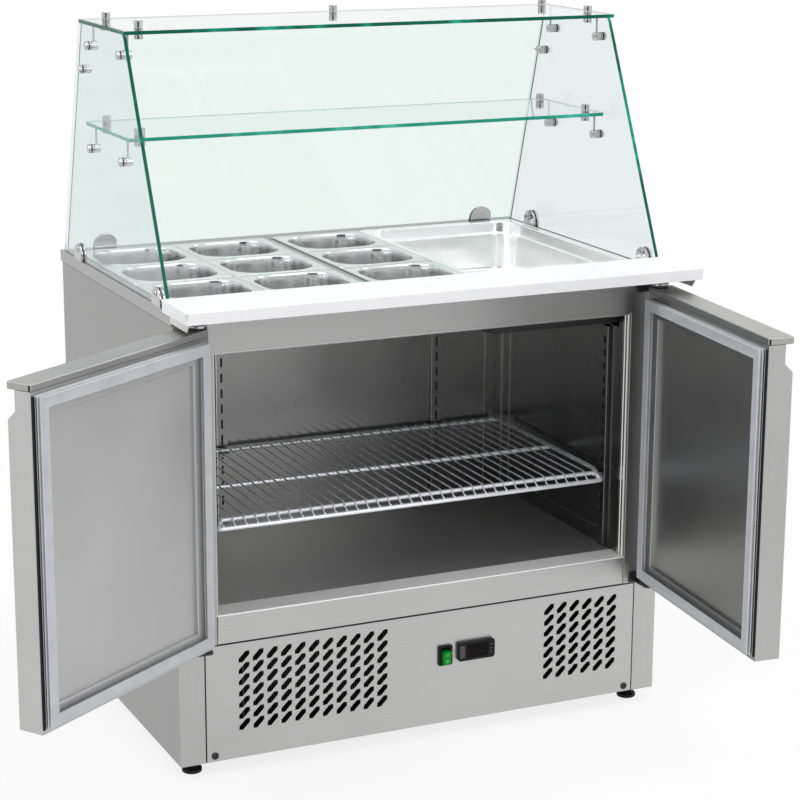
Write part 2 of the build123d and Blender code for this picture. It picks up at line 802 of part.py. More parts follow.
# Hinge bolts: one round head in each bracket's leg
with BuildPart() as hinge_bolts:
    for bolt_z, face in (
        (top_plate + bracket_sheet - top_leg_height + hinge_bolt_inset, rim_front),
        (bottom_plate + bottom_leg_height - hinge_bolt_inset, front),
    ):
        with BuildSketch(Plane.XZ.offset(-(face - bracket_leg_sheet))):
            with Locations((-leg_x, bolt_z), (leg_x, bolt_z)):
                RegularPolygon(hinge_bolt_radius, small_round_sides)
        extrude(amount=hinge_bolt_height)
save(hinge_bolts, "hinge_bolts")

# Hinge pins: spring cartridges under the top brackets and plain pins on the bottom ones
with BuildPart() as hinge_pins:
    with BuildSketch(Plane.XY.offset(cartridge_bottom)):
        for side in (-1, 1):
            with Locations((side * pivot_x, pivot_y)):
                RegularPolygon(cartridge_radius, large_round_sides)
    extrude(amount=cartridge_height)
    with BuildSketch(Plane.XY.offset(door_cap_top - hinge_pin_bite)):
        for side in (-1, 1):
            with Locations((side * pivot_x, pivot_y)):
                Circle(hinge_pin_radius)
    extrude(amount=hinge_pin_bite + cartridge_gap)
    with BuildSketch(Plane.XY.offset(bottom_plate + bracket_sheet)):
        for side in (-1, 1):
            with Locations((side * pivot_x, pivot_y)):
                Circle(hinge_pin_radius)
    extrude(amount=bottom_bracket_gap + hinge_pin_bite)
save(hinge_pins, "hinge_pins")

# Doors

# Each door is built where it stands open, in a plane whose origin is the pivot: X runs along the
# door (to the free end on the left door, away from it on the right one) and Y towards its inner face
bore_radius = hinge_pin_radius + pivot_clearance
bore_depth = hinge_pin_bite + pivot_clearance
core_heel = door_heel - sheet
fold_face = door_skin_inner - sheet
gasket_end = door_reach - gasket_free
pocket_inset = gasket_width + door_core_margin
gasket_face = pivot_drop - gasket_clearance
base_face = door_core_inner + panel_sheet
bead_face = base_face + gasket_base


def span(side, first, last):
    return side * (first + last) / 2


for side, name, opening in ((1, "left", left_opening), (-1, "right", right_opening)):
    swing = radians(opening)
    pivot = Vector(-side * pivot_x, pivot_y, 0)
    along = Vector(cos(swing), -side * sin(swing), 0)
    door_plane = Plane(origin=pivot, x_dir=along, z_dir=(0, 0, 1))
    inward = door_plane.y_dir
    end_plane = Plane(origin=pivot - along * (side * door_heel), x_dir=inward, z_dir=along * side)
    core_plane = Plane(origin=pivot - along * (side * core_heel), x_dir=inward, z_dir=along * side)
    low = 1 if side > 0 else -1

    # Outer skin: a folded tray with the grip stepped into its outer edge and a window for the inner panel
    with BuildPart() as door_skin:
        with BuildSketch(end_plane):
            Polygon(
                (-door_outer, low * door_bottom),
                (door_skin_inner, low * door_bottom),
                (door_skin_inner, low * door_top),
                (grip_depth - door_outer, low * door_top),
                (grip_depth - door_outer, low * (door_top - grip_height)),
                (-door_outer, low * (door_top - grip_height - grip_depth)),
                align=None,
            )
        extrude(amount=door_reach + door_heel)
        with BuildSketch(core_plane):
            Polygon(
                (sheet - door_outer, low * (door_bottom + sheet)),
                (fold_face, low * (door_bottom + sheet)),
                (fold_face, low * (door_top - sheet)),
                (grip_depth - door_outer + sheet, low * (door_top - sheet)),
                (grip_depth - door_outer + sheet, low * (door_top - grip_height)),
                (sheet - door_outer, low * (door_top - grip_height - grip_depth)),
                align=None,
            )
        extrude(amount=door_reach + door_heel - 2 * sheet, mode=Mode.SUBTRACT)
        with BuildSketch(door_plane.offset(gasket_bottom)):
            with Locations((span(side, gasket_heel, gasket_end), door_skin_inner - sheet / 2)):
                Rectangle(gasket_end - gasket_heel, sheet)
        extrude(amount=gasket_top - gasket_bottom, mode=Mode.SUBTRACT)
        with BuildSketch(door_plane.offset(door_bottom)):
            Circle(bore_radius)
        extrude(amount=door_top - door_bottom, mode=Mode.SUBTRACT)
    save(door_skin, name + "_door_skin")

    # Core: the insulating block with a raised rim for the gasket and a pocket for the inner panel
    with BuildPart() as door_core:
        with BuildSketch(core_plane):
            Polygon(
                (sheet - door_outer, low * (door_bottom + sheet)),
                (fold_face, low * (door_bottom + sheet)),
                (fold_face, low * (door_top - sheet)),
                (grip_depth - door_outer + sheet, low * (door_top - sheet)),
                (grip_depth - door_outer + sheet, low * (door_top - grip_height)),
                (sheet - door_outer, low * (door_top - grip_height - grip_depth)),
                align=None,
            )
        extrude(amount=door_reach + door_heel - 2 * sheet)
        with BuildSketch(door_plane.offset(gasket_bottom + panel_sheet)):
            with Locations((span(side, gasket_heel, gasket_end), (fold_face + door_core_inner) / 2)):
                Rectangle(gasket_end - gasket_heel - 2 * panel_sheet, door_core_inner - fold_face)
        extrude(amount=gasket_top - gasket_bottom - 2 * panel_sheet)
        with BuildSketch(door_plane.offset(gasket_bottom + pocket_inset)):
            with Locations((
                span(side, gasket_heel + pocket_inset, gasket_end - pocket_inset),
                door_core_inner - panel_recess / 2,
            )):
                Rectangle(gasket_end - gasket_heel - 2 * pocket_inset, panel_recess)
        extrude(amount=gasket_top - gasket_bottom - 2 * pocket_inset, mode=Mode.SUBTRACT)
        with BuildSketch(door_plane.offset(door_bottom)):
            Circle(bore_radius)
        extrude(amount=bottom_bracket_gap + bore_depth, mode=Mode.SUBTRACT)
        with BuildSketch(door_plane.offset(door_cap_top)):
            Circle(bore_radius)
        extrude(amount=-bore_depth, mode=Mode.SUBTRACT)
    save(door_core, name + "_door_core")

    # Inner panel: a tray turned over the core, with a flange under the gasket and a recessed field
    with BuildPart() as inner_panel:
        with BuildSketch(door_plane.offset(gasket_bottom)):
            with Locations((span(side, gasket_heel, gasket_end), (fold_face + base_face) / 2)):
                Rectangle(gasket_end - gasket_heel, base_face - fold_face)
        extrude(amount=gasket_top - gasket_bottom)
        with BuildSketch(door_plane.offset(gasket_bottom + panel_sheet)):
            with Locations((span(side, gasket_heel, gasket_end), (fold_face + door_core_inner) / 2)):
                Rectangle(gasket_end - gasket_heel - 2 * panel_sheet, door_core_inner - fold_face)
        extrude(amount=gasket_top - gasket_bottom - 2 * panel_sheet, mode=Mode.SUBTRACT)
        with BuildSketch(door_plane.offset(gasket_bottom + pocket_inset)):
            with Locations((
                span(side, gasket_heel + pocket_inset, gasket_end - pocket_inset),
                door_core_inner + panel_sheet - (panel_recess + panel_sheet) / 2,
            )):
                Rectangle(gasket_end - gasket_heel - 2 * pocket_inset, panel_recess + panel_sheet)
        extrude(amount=gasket_top - gasket_bottom - 2 * pocket_inset)
        with BuildSketch(door_plane.offset(gasket_bottom + pocket_inset + panel_sheet)):
            with Locations((
                span(side, gasket_heel + pocket_inset, gasket_end - pocket_inset),
                door_core_inner + 2 * panel_sheet - (panel_recess + panel_sheet) / 2,
            )):
                Rectangle(
                    gasket_end - gasket_heel - 2 * (pocket_inset + panel_sheet),
                    panel_recess + panel_sheet,
                )
        extrude(amount=gasket_top - gasket_bottom - 2 * (pocket_inset + panel_sheet), mode=Mode.SUBTRACT)
    save(inner_panel, name + "_door_inner_panel")

    # Gasket: a flat base ring and the narrower magnetic ring on it
    with BuildPart() as door_gasket:
        for inset, near, far in ((0, base_face, bead_face), (gasket_bead_inset, bead_face, gasket_face)):
            ring_length = gasket_end - gasket_heel - 2 * inset
            ring_height = gasket_top - gasket_bottom - 2 * inset
            ring_width = gasket_width - 2 * inset
            ring_x = span(side, gasket_heel, gasket_end)
            with BuildSketch(door_plane.offset(gasket_bottom + inset)):
                with Locations((ring_x, (near + far) / 2)):
                    Rectangle(ring_length, far - near)
            extrude(amount=ring_height)
            with BuildSketch(door_plane.offset(gasket_bottom + inset + ring_width)):
                with Locations((ring_x, (near + far) / 2)):
                    Rectangle(ring_length - 2 * ring_width, far - near)
            extrude(amount=ring_height - 2 * ring_width, mode=Mode.SUBTRACT)
    save(door_gasket, name + "_door_gasket")

    # Cap: the strip along the top that overhangs the grip
    with BuildPart() as door_cap:
        with BuildSketch(door_plane.offset(door_top)):
            with Locations((span(side, -cap_heel, door_reach), (cap_inner - cap_outer) / 2)):
                Rectangle(door_reach + cap_heel, cap_inner + cap_outer)
            Circle(bore_radius, mode=Mode.SUBTRACT)
        extrude(amount=door_cap_height)
    save(door_cap, name + "_door_cap")

# Glass stand

# Side glasses: a raked pane on each side with a rounded top front corner
for side, name in ((-1, "left_side_glass"), (1, "right_side_glass")):
    with BuildPart() as side_glass:
        with BuildSketch(Plane.YZ.offset(side * glass_outer_x)) as side_outline:
            Polygon(
                (glass_front_bottom, worktop_height),
                (glass_back_bottom, worktop_height),
                (glass_back_top, glass_top),
                (glass_front_top, glass_top),
                align=None,
            )
            fillet(side_outline.vertices().group_by(Axis.Y)[-1].sort_by(Axis.X)[0], radius=glass_corner)
        extrude(amount=-side * glass)
    save(side_glass, name)

# Back glass: leans with the back edges of the side glasses
with BuildPart() as back_glass:
    with BuildSketch(Plane.YZ.offset(-(glass_inner_x - back_glass_gap))):
        Polygon(
            (back_glass_face, worktop_height),
            (back_glass_face + glass, worktop_height),
            (back_glass_face + glass - rake_back * stand_height, glass_top),
            (back_glass_face - rake_back * stand_height, glass_top),
            align=None,
        )
    extrude(amount=2 * (glass_inner_x - back_glass_gap))
save(back_glass, "back_glass")

# Top shelf: lies on the upper edges of the side glasses
with BuildPart() as top_shelf:
    with BuildSketch(Plane.XY.offset(glass_top)):
        with Locations((0, (top_shelf_front + top_shelf_back) / 2)):
            Rectangle(2 * (glass_outer_x + top_shelf_overhang), top_shelf_back - top_shelf_front)
    extrude(amount=glass)
save(top_shelf, "top_shelf")

# Middle shelf: hangs between the side glasses
middle_half = glass_inner_x - middle_shelf_gap
with BuildPart() as middle_shelf:
    with BuildSketch(Plane.XY.offset(middle_bottom)):
        with Locations((0, (middle_shelf_front + middle_shelf_back) / 2)):
            Rectangle(2 * middle_half, middle_shelf_back - middle_shelf_front)
    extrude(amount=glass)
save(middle_shelf, "middle_shelf")

# Half round clamps: a plate on each face of the glass, on the side panes and on the back pane
clamp_height = clamp_neck + clamp_radius
clamp_lean = rake_back * clamp_height
with BuildPart() as back_clamps:
    for clamp_x in (-back_clamp_x, back_clamp_x):
        for near in (back_glass_face - clamp_plate, back_glass_face + glass):
            with BuildSketch(Plane.YZ.offset(clamp_x - clamp_radius)):
                Polygon(
                    (near, worktop_height),
                    (near + clamp_plate, worktop_height),
                    (near + clamp_plate - clamp_lean, worktop_height + clamp_height),
                    (near - clamp_lean, worktop_height + clamp_height),
                    align=None,
                )
            extrude(amount=2 * clamp_radius)
    with BuildSketch(Plane.XZ.offset(-back)):
        for clamp_x in (-back_clamp_x, back_clamp_x):
            with Locations((clamp_x, worktop_height + clamp_neck)):
                RegularPolygon(clamp_radius, large_round_sides)
            with Locations((clamp_x, worktop_height + clamp_neck / 2)):
                Rectangle(2 * clamp_radius, clamp_neck)
    extrude(amount=body_depth, mode=Mode.INTERSECT)
with BuildPart() as half_round_clamps:
    add(back_clamps.part)
    for plate_x in (-glass_outer_x - clamp_plate, -glass_inner_x, glass_inner_x - clamp_plate, glass_outer_x):
        with BuildSketch(Plane.YZ.offset(plate_x)):
            for clamp_y in (side_clamp_front, side_clamp_back):
                with Locations((clamp_y, worktop_height + clamp_neck)):
                    RegularPolygon(clamp_radius, large_round_sides)
                with Locations((clamp_y, worktop_height + clamp_neck / 2)):
                    Rectangle(2 * clamp_radius, clamp_neck)
                with Locations((clamp_y, worktop_height - clamp_radius / 2)):
                    Rectangle(2 * clamp_radius, clamp_radius, mode=Mode.SUBTRACT)
        extrude(amount=clamp_plate)
save(half_round_clamps, "half_round_clamps")

# Through clamps: a button above and one below the glass at each holding point of the shelves
shelf_clamp_x = glass_outer_x - shelf_clamp_inset
shelf_points = [
    (clamp_side * shelf_clamp_x, clamp_y)
    for clamp_side in (-1, 1)
    for clamp_y in (shelf_clamp_front, shelf_clamp_back)
]
middle_point = (0, shelf_clamp_back)
with BuildPart() as through_clamps:
    for under, points in ((glass_top, shelf_points + [middle_point]), (middle_bottom, shelf_points)):
        with BuildSketch(Plane.XY.offset(under + glass)):
            with Locations(*points):
                RegularPolygon(through_radius, small_round_sides)
        extrude(amount=through_above)
        with BuildSketch(Plane.XY.offset(under)):
            with Locations(*points):
                RegularPolygon(through_radius, small_round_sides)
        extrude(amount=-through_below)
save(through_clamps, "through_clamps")

# Standoffs: a barrel on the inner face of the side glass, its cap outside and a rod to the shelf's clamp
barrel_end = shelf_clamp_x - through_radius / 2
back_standoff_z = worktop_height + back_standoff_height
rod_top = back_standoff_z + standoff_rod
back_rod_end = back_glass_face - rake_back * (rod_top - worktop_height)
back_standoff_y = back_rod_end - back_standoff_inset
barrels = [
    (barrel_y, under - standoff_drop)
    for barrel_y in (shelf_clamp_front, shelf_clamp_back)
    for under in (glass_top, middle_bottom)
]
barrels.append((back_standoff_y, back_standoff_z))
with BuildPart() as standoffs:
    for start_x, reach in (
        (-glass_inner_x, glass_inner_x - barrel_end),
        (-glass_outer_x, -standoff_cap),
        (glass_inner_x, barrel_end - glass_inner_x),
        (glass_outer_x, standoff_cap),
    ):
        with BuildSketch(Plane.YZ.offset(start_x)):
            with Locations(*barrels):
                RegularPolygon(standoff_radius, small_round_sides)
        extrude(amount=reach)
    for under in (glass_top, middle_bottom):
        with BuildSketch(Plane.XY.offset(under - standoff_drop)):
            with Locations(*shelf_points):
                RegularPolygon(standoff_rod, rod_sides)
        extrude(amount=standoff_drop - through_below)
    with BuildSketch(Plane.XZ.offset(-back_standoff_y)):
        with Locations((-shelf_clamp_x, back_standoff_z), (shelf_clamp_x, back_standoff_z)):
            RegularPolygon(standoff_rod, rod_sides)
    extrude(amount=back_standoff_y - back_rod_end)
save(standoffs, "standoffs")

# Well

# Divider bars: a grid flush with the worktop that carries the inner rims of the pans
bars_bottom = worktop_height - bar_height
small_right = column_starts[-1] + pan_length
wide_bar_left = column_starts[1] + pan_length - bar_ledge
wide_bar_right = column_starts[2] + bar_ledge
spacer_back = row_backs[-1] - pan_width + bar_ledge
with BuildPart() as divider_bars:
    with BuildSketch(Plane.XY.offset(bars_bottom)):
        with Locations(
            (column_starts[1], (opening_front + opening_back) / 2),
            (small_right, (opening_front + opening_back) / 2),
        ):
            Rectangle(2 * bar_ledge, opening_back - opening_front)
        with Locations(((wide_bar_left + wide_bar_right) / 2, (opening_front + opening_back) / 2)):
            Rectangle(wide_bar_right - wide_bar_left, opening_back - opening_front)
        for row_back in row_backs[1:]:
            with Locations(((opening_left + small_right) / 2, row_back)):
                Rectangle(small_right - opening_left, 2 * bar_ledge)
        with Locations(((opening_left + small_right) / 2, (opening_front + spacer_back) / 2)):
            Rectangle(small_right - opening_left, spacer_back - opening_front)
    extrude(amount=bar_height)
save(divider_bars, "divider_bars")

# Small pans: a flat rim round an oval bowl with sloping walls, numbered from the back left
pan_opening_length = pan_length - 2 * (pan_rim + pan_wall_inset)
pan_opening_width = pan_width - 2 * (pan_rim + pan_wall_inset)
for column, start_x in enumerate(column_starts):
    for row, row_back in enumerate(row_backs):
        pan_center = (start_x + pan_length / 2, row_back - pan_width / 2)
        with BuildPart() as small_pan:
            with BuildSketch(Plane.XY.offset(worktop_height)):
                with Locations(pan_center):
                    pan_outline(pan_length - pan_gap, pan_width - pan_gap, pan_rim_corner)
            extrude(amount=pan_sheet)
            with BuildSketch(Plane.XY.offset(worktop_height)):
                with Locations(pan_center):
                    pan_outline(pan_opening_length, pan_opening_width, pan_oval_corner)
            extrude(amount=pan_sheet, mode=Mode.SUBTRACT)
            for wall, depth, mode in (
                (pan_sheet, small_pan_depth, Mode.ADD),
                (0, small_pan_depth - pan_sheet, Mode.SUBTRACT),
            ):
                for drop in (0, depth):
                    slope = drop * tan(radians(pan_taper))
                    with BuildSketch(Plane.XY.offset(worktop_height - drop)):
                        with Locations(pan_center):
                            pan_outline(
                                pan_opening_length + 2 * (wall - slope),
                                pan_opening_width + 2 * (wall - slope),
                                pan_oval_corner - slope,
                            )
                loft(ruled=True, mode=mode)
        save(small_pan, "small_pan_" + str(column * len(row_backs) + row + 1))

# Large pan: a deep bowl with a stacking step below its rim
large_center = (large_left + large_pan_length / 2, well_back - large_pan_width / 2)
large_opening_length = large_pan_length - 2 * (pan_rim + pan_wall_inset)
large_opening_width = large_pan_width - 2 * (pan_rim + pan_wall_inset)
ledge_z = worktop_height - large_pan_step
with BuildPart() as large_pan:
    with BuildSketch(Plane.XY.offset(worktop_height)):
        with Locations(large_center):
            pan_outline(large_pan_length - pan_gap, large_pan_width - pan_gap, pan_rim_corner)
    extrude(amount=pan_sheet)
    for shrink, top_z, bottom_z in (
        (0, worktop_height, ledge_z - pan_sheet),
        (2 * large_pan_ledge, ledge_z, worktop_height - large_pan_depth),
    ):
        with BuildSketch(Plane.XY.offset(top_z)):
            with Locations(large_center):
                pan_outline(
                    large_opening_length + 2 * pan_sheet - shrink,
                    large_opening_width + 2 * pan_sheet - shrink,
                    large_pan_corner,
                )
        extrude(amount=bottom_z - top_z)
    for shrink, top_z, bottom_z in (
        (0, worktop_height + pan_sheet, ledge_z),
        (2 * large_pan_ledge, ledge_z, worktop_height - large_pan_depth + pan_sheet),
    ):
        with BuildSketch(Plane.XY.offset(top_z)):
            with Locations(large_center):
                pan_outline(
                    large_opening_length - shrink,
                    large_opening_width - shrink,
                    large_pan_corner - pan_sheet,
                )
        extrude(amount=bottom_z - top_z, mode=Mode.SUBTRACT)
save(large_pan, "large_pan")

# Cutting board and its brackets
with BuildPart() as cutting_board:
    with BuildSketch(Plane.XY.offset(board_bottom)):
        with Locations((0, (board_front + board_back) / 2)):
            Rectangle(body_width + 2 * board_end_overhang, board_width)
    extrude(amount=board_thickness)
    fillet(cutting_board.edges().group_by(Axis.Z)[-1], radius=board_edge)
save(cutting_board, "cutting_board")

# Board brackets: an angle under each end of the board, its web cut on a slant at the front
bracket_outer = worktop_width / 2 + sheet
bracket_end = board_front + board_bracket_setback
flange_middle = bracket_outer - board_bracket_flange / 2
with BuildPart() as board_brackets:
    for side in (-1, 1):
        with BuildSketch(Plane.XY.offset(worktop_height)):
            with Locations((side * flange_middle, (bracket_end + board_back) / 2)):
                Rectangle(board_bracket_flange, board_back - bracket_end)
        extrude(amount=sheet)
        with BuildSketch(Plane.YZ.offset(side * (bracket_outer - sheet / 2) - sheet / 2)):
            Polygon(
                (bracket_end, board_bottom),
                (bracket_end + board_bracket_slant, worktop_height - board_bracket_drop),
                (rim_front, worktop_height - board_bracket_drop),
                (rim_front, board_bottom),
                align=None,
            )
        extrude(amount=sheet)
save(board_brackets, "board_brackets")

# Machine compartment

machine_floor = base_height + machine_wall

# Compressor: a round shell on a square base plate
with BuildPart() as compressor:
    with BuildSketch(Plane.XY.offset(machine_floor)):
        with Locations((compressor_x, compressor_y)):
            Rectangle(2 * compressor_radius, 2 * compressor_radius)
    extrude(amount=compressor_base)
    with BuildSketch(Plane.XY.offset(machine_floor + compressor_base)):
        with Locations((compressor_x, compressor_y)):
            RegularPolygon(compressor_radius - compressor_base, large_round_sides)
    extrude(amount=compressor_height)
save(compressor, "compressor")

# Condenser: a frame with upright fins
fin_pitch = condenser_width / (condenser_fin_count + 1)
with BuildPart() as condenser:
    with BuildSketch(Plane.XY.offset(machine_floor)):
        with Locations((condenser_x, condenser_y)):
            Rectangle(condenser_width, condenser_depth)
    extrude(amount=condenser_height)
    with BuildSketch(Plane.XZ.offset(-(condenser_y - condenser_depth / 2))):
        with Locations((condenser_x, machine_floor + condenser_height / 2)):
            with GridLocations(fin_pitch, fin_pitch, condenser_fin_count + 1, 1):
                Rectangle(fin_pitch - condenser_fin, condenser_height - 2 * bezel_wall)
    extrude(amount=-condenser_depth, mode=Mode.SUBTRACT)
save(condenser, "condenser")

# Fan: pitched blades on a hub that turns on the motor's shaft behind the condenser
fan_y = condenser_y + condenser_depth / 2 + fan_gap + fan_hub_depth
fan_z = machine_floor + condenser_height / 2
fan_plane = Plane(origin=(condenser_x, fan_y, fan_z), x_dir=(1, 0, 0), z_dir=(0, 1, 0))
blade_length = fan_radius - fan_hub_radius + fan_blade_sheet
blade_width = fan_hub_depth * 2
with BuildPart(fan_plane) as fan_blades:
    Cylinder(fan_hub_radius, fan_hub_depth)
    with PolarLocations((fan_radius + fan_hub_radius) / 2 - fan_blade_sheet / 2, fan_blade_count):
        Box(blade_length, blade_width, fan_blade_sheet, rotation=(fan_blade_pitch, 0, 0))
    Cylinder(fan_shaft_radius + pivot_clearance, 2 * fan_hub_depth, mode=Mode.SUBTRACT)
save(fan_blades, "fan_blades")

# Fan motor: a block on an upright strap, with the shaft towards the fan
motor_front = fan_y + fan_hub_depth
with BuildPart() as fan_motor:
    with BuildSketch(Plane.XZ.offset(-motor_front)):
        with Locations((condenser_x, fan_z)):
            Rectangle(fan_motor_width, fan_motor_width)
    extrude(amount=-fan_motor_depth)
    with BuildSketch(Plane.XZ.offset(-motor_front)):
        with Locations((condenser_x, fan_z)):
            Circle(fan_shaft_radius)
    extrude(amount=fan_hub_depth * 3 / 2)
    with BuildSketch(Plane.XY.offset(machine_floor)):
        with Locations((condenser_x, motor_front + fan_motor_depth - machine_wall / 2)):
            Rectangle(fan_bracket_width, machine_wall)
    extrude(amount=fan_z - machine_floor)
save(fan_motor, "fan_motor")
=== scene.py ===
import json
import math

import bmesh
import bpy
from mathutils import Matrix, Vector


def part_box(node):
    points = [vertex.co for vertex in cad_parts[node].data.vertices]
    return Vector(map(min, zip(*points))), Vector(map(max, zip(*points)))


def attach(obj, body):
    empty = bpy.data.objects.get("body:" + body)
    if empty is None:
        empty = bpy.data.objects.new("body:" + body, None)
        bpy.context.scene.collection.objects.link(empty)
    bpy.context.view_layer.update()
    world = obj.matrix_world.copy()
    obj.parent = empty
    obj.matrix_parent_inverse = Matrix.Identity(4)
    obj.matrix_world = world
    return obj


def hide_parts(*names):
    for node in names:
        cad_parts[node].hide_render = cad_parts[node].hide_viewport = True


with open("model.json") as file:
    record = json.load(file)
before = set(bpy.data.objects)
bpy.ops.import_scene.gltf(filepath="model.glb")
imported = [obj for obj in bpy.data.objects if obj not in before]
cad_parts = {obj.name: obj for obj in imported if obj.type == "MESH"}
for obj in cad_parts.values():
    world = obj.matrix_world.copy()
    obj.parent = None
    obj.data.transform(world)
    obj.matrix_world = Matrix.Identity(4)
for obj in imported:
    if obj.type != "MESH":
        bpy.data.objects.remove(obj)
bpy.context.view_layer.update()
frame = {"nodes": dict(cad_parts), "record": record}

# Camera: the photograph's place and angle, fitted to the cabinet's corners
CAMERA_PLACE = (-1.591188, -3.634282, 1.549482)
CAMERA_YAW = math.radians(24.703)
CAMERA_PITCH = math.radians(-14.265)
CAMERA_ROLL = math.radians(0.269)
SENSOR_WIDTH = 36
PHOTO_WIDTH = 800
FOCAL_PIXELS = 2284.873
MIDDLE_PIXEL = (398.905, 397.65)
CAMERA_LENS = FOCAL_PIXELS * SENSOR_WIDTH / PHOTO_WIDTH
CAMERA_SHIFT = (
    (PHOTO_WIDTH / 2 - MIDDLE_PIXEL[0]) / PHOTO_WIDTH,
    (MIDDLE_PIXEL[1] - PHOTO_WIDTH / 2) / PHOTO_WIDTH,
)

# Doors: their pivots and how far they stand open in the photograph
PIVOT_X = 0.420
PIVOT_Y = -0.330
LEFT_OPENING = math.radians(146)
RIGHT_OPENING = math.radians(85)
DOOR_REACH = 0.418
DOOR_OUTER = -0.028
DOOR_FOLD = 0.016
TRAY_RIM = 0.019
GASKET_HEEL = 0.004
GASKET_END = 0.412

# Sheet and glass
SHEET = 0.0015
PAN_SHEET = 0.001
GLASS = 0.006
GLASS_LEAN = 0.124
GLASS_RISE = 0.416
GLASS_RAKE = GLASS_LEAN / GLASS_RISE

# How near two places are the same, and how straight a face looks one way
NEAR = 0.0001
FACING = 0.9


# Camera, room and lamps


def set_camera():
    forward = Vector((
        math.sin(CAMERA_YAW) * math.cos(CAMERA_PITCH),
        math.cos(CAMERA_YAW) * math.cos(CAMERA_PITCH),
        math.sin(CAMERA_PITCH),
    ))
    level = Vector((math.cos(CAMERA_YAW), -math.sin(CAMERA_YAW), 0))
    upright = level.cross(forward)
    right = level * math.cos(CAMERA_ROLL) + upright * math.sin(CAMERA_ROLL)
    up = upright * math.cos(CAMERA_ROLL) - level * math.sin(CAMERA_ROLL)
    data = bpy.data.cameras.new("photo_camera")
    data.sensor_width = SENSOR_WIDTH
    data.lens = CAMERA_LENS
    data.shift_x, data.shift_y = CAMERA_SHIFT
    camera = bpy.data.objects.new("photo_camera", data)
    camera.matrix_world = Matrix((
        (right.x, up.x, -forward.x, CAMERA_PLACE[0]),
        (right.y, up.y, -forward.y, CAMERA_PLACE[1]),
        (right.z, up.z, -forward.z, CAMERA_PLACE[2]),
        (0, 0, 0, 1),
    ))
    bpy.context.scene.collection.objects.link(camera)
    bpy.context.scene.camera = camera


def white_where_seen(tree, lit, output, share=None):
    """Camera, mirror and glass rays see plain white here, or a share of it, and other rays the lit shader."""
    white = tree.nodes.new("ShaderNodeEmission")
    white.inputs["Color"].default_value = (1, 1, 1, 1)
    path = tree.nodes.new("ShaderNodeLightPath")
    seen = path.outputs["Is Camera Ray"]
    for kind in ("Is Glossy Ray", "Is Transmission Ray"):
        either = tree.nodes.new("ShaderNodeMath")
        either.operation = "MAXIMUM"
        tree.links.new(seen, either.inputs[0])
        tree.links.new(path.outputs[kind], either.inputs[1])
        seen = either.outputs[0]
    if share:
        part = tree.nodes.new("ShaderNodeMath")
        part.operation = "MULTIPLY"
        tree.links.new(seen, part.inputs[0])
        tree.links.new(share, part.inputs[1])
        seen = part.outputs[0]
    mix = tree.nodes.new("ShaderNodeMixShader")
    tree.links.new(seen, mix.inputs[0])
    tree.links.new(lit, mix.inputs[1])
    tree.links.new(white.outputs[0], mix.inputs[2])
    tree.links.new(mix.outputs[0], output)


FLOOR_REACH = 14
FLOOR_WHITE = (0.82, 1.0)
FLOOR_FADE = (0.8, 2.2)


def pale_floor():
    """A wide floor that keeps the shadow near the cabinet and fades to white further out."""
    mesh = bpy.data.meshes.new("floor")
    corners = [(x * FLOOR_REACH, y * FLOOR_REACH, 0) for x, y in ((-1, -1), (1, -1), (1, 1), (-1, 1))]
    mesh.from_pydata(corners, [], [(0, 1, 2, 3)])
    floor = bpy.data.objects.new("floor", mesh)
    bpy.context.scene.collection.objects.link(floor)
    finish = Finish("pale_floor", Roughness=0.8)
    finish.two_tones(finish.noise(3), grey(0.90), grey(0.92))
    distance = finish.node("VectorMath", operation="LENGTH")
    finish.link(finish.place, distance.inputs[0])
    share = finish.level(distance.outputs["Value"], *FLOOR_WHITE, *FLOOR_FADE)
    white_where_seen(finish.tree, finish.shader.outputs[0], finish.output.inputs["Surface"], share)
    mesh.materials.append(finish.material)


CARD_LEFT = (-4.1, -4.1)
CARD_RIGHT = (-0.4, -5.8)
CARD_LOW = 0.2
CARD_HIGH = 3.0


def dark_card():
    """A wide dark card behind the camera, which only mirror rays see: chrome shows it as a dark line."""
    mesh = bpy.data.meshes.new("dark_card")
    corners = [
        (*CARD_LEFT, CARD_LOW), (*CARD_RIGHT, CARD_LOW), (*CARD_RIGHT, CARD_HIGH), (*CARD_LEFT, CARD_HIGH),
    ]
    mesh.from_pydata(corners, [], [(0, 1, 2, 3)])
    card = bpy.data.objects.new("dark_card", mesh)
    bpy.context.scene.collection.objects.link(card)
    finish = Finish("card_felt", Roughness=0.9)
    finish.two_tones(finish.noise(30), grey(0.02), grey(0.03))
    mesh.materials.append(finish.material)
    card.visible_camera = False
    card.visible_diffuse = False
    card.visible_transmission = False
    card.visible_shadow = False


ROOM_LIGHT = 0.56
LAMP_AIM = Vector((0, 0, 0.6))
LAMPS = (
    ("left_lamp", (-3.4, -1.2, 3.2), 2.4, 58),
    ("front_lamp", (0.8, -4.4, 3.0), 2.8, 46),
    ("right_lamp", (3.6, -0.8, 2.4), 2.0, 30),
    ("top_lamp", (0.2, -0.3, 4.2), 3.0, 44),
)


def pale_room():
    pale_floor()
    dark_card()
    world = bpy.data.worlds.new("pale_room")
    bpy.context.scene.world = world
    world.use_nodes = True
    plain = world.node_tree.nodes["Background"]
    plain.inputs["Color"].default_value = (1, 1, 1, 1)
    plain.inputs["Strength"].default_value = ROOM_LIGHT
    surface = world.node_tree.nodes["World Output"].inputs["Surface"]
    white_where_seen(world.node_tree, plain.outputs[0], surface)
    for name, place, size, power in LAMPS:
        data = bpy.data.lights.new(name, "AREA")
        data.shape = "DISK"
        data.size = size
        data.energy = power
        lamp = bpy.data.objects.new(name, data)
        lamp.location = place
        lamp.rotation_euler = (LAMP_AIM - Vector(place)).to_track_quat("-Z", "Y").to_euler()
        bpy.context.scene.collection.objects.link(lamp)


# Finishes


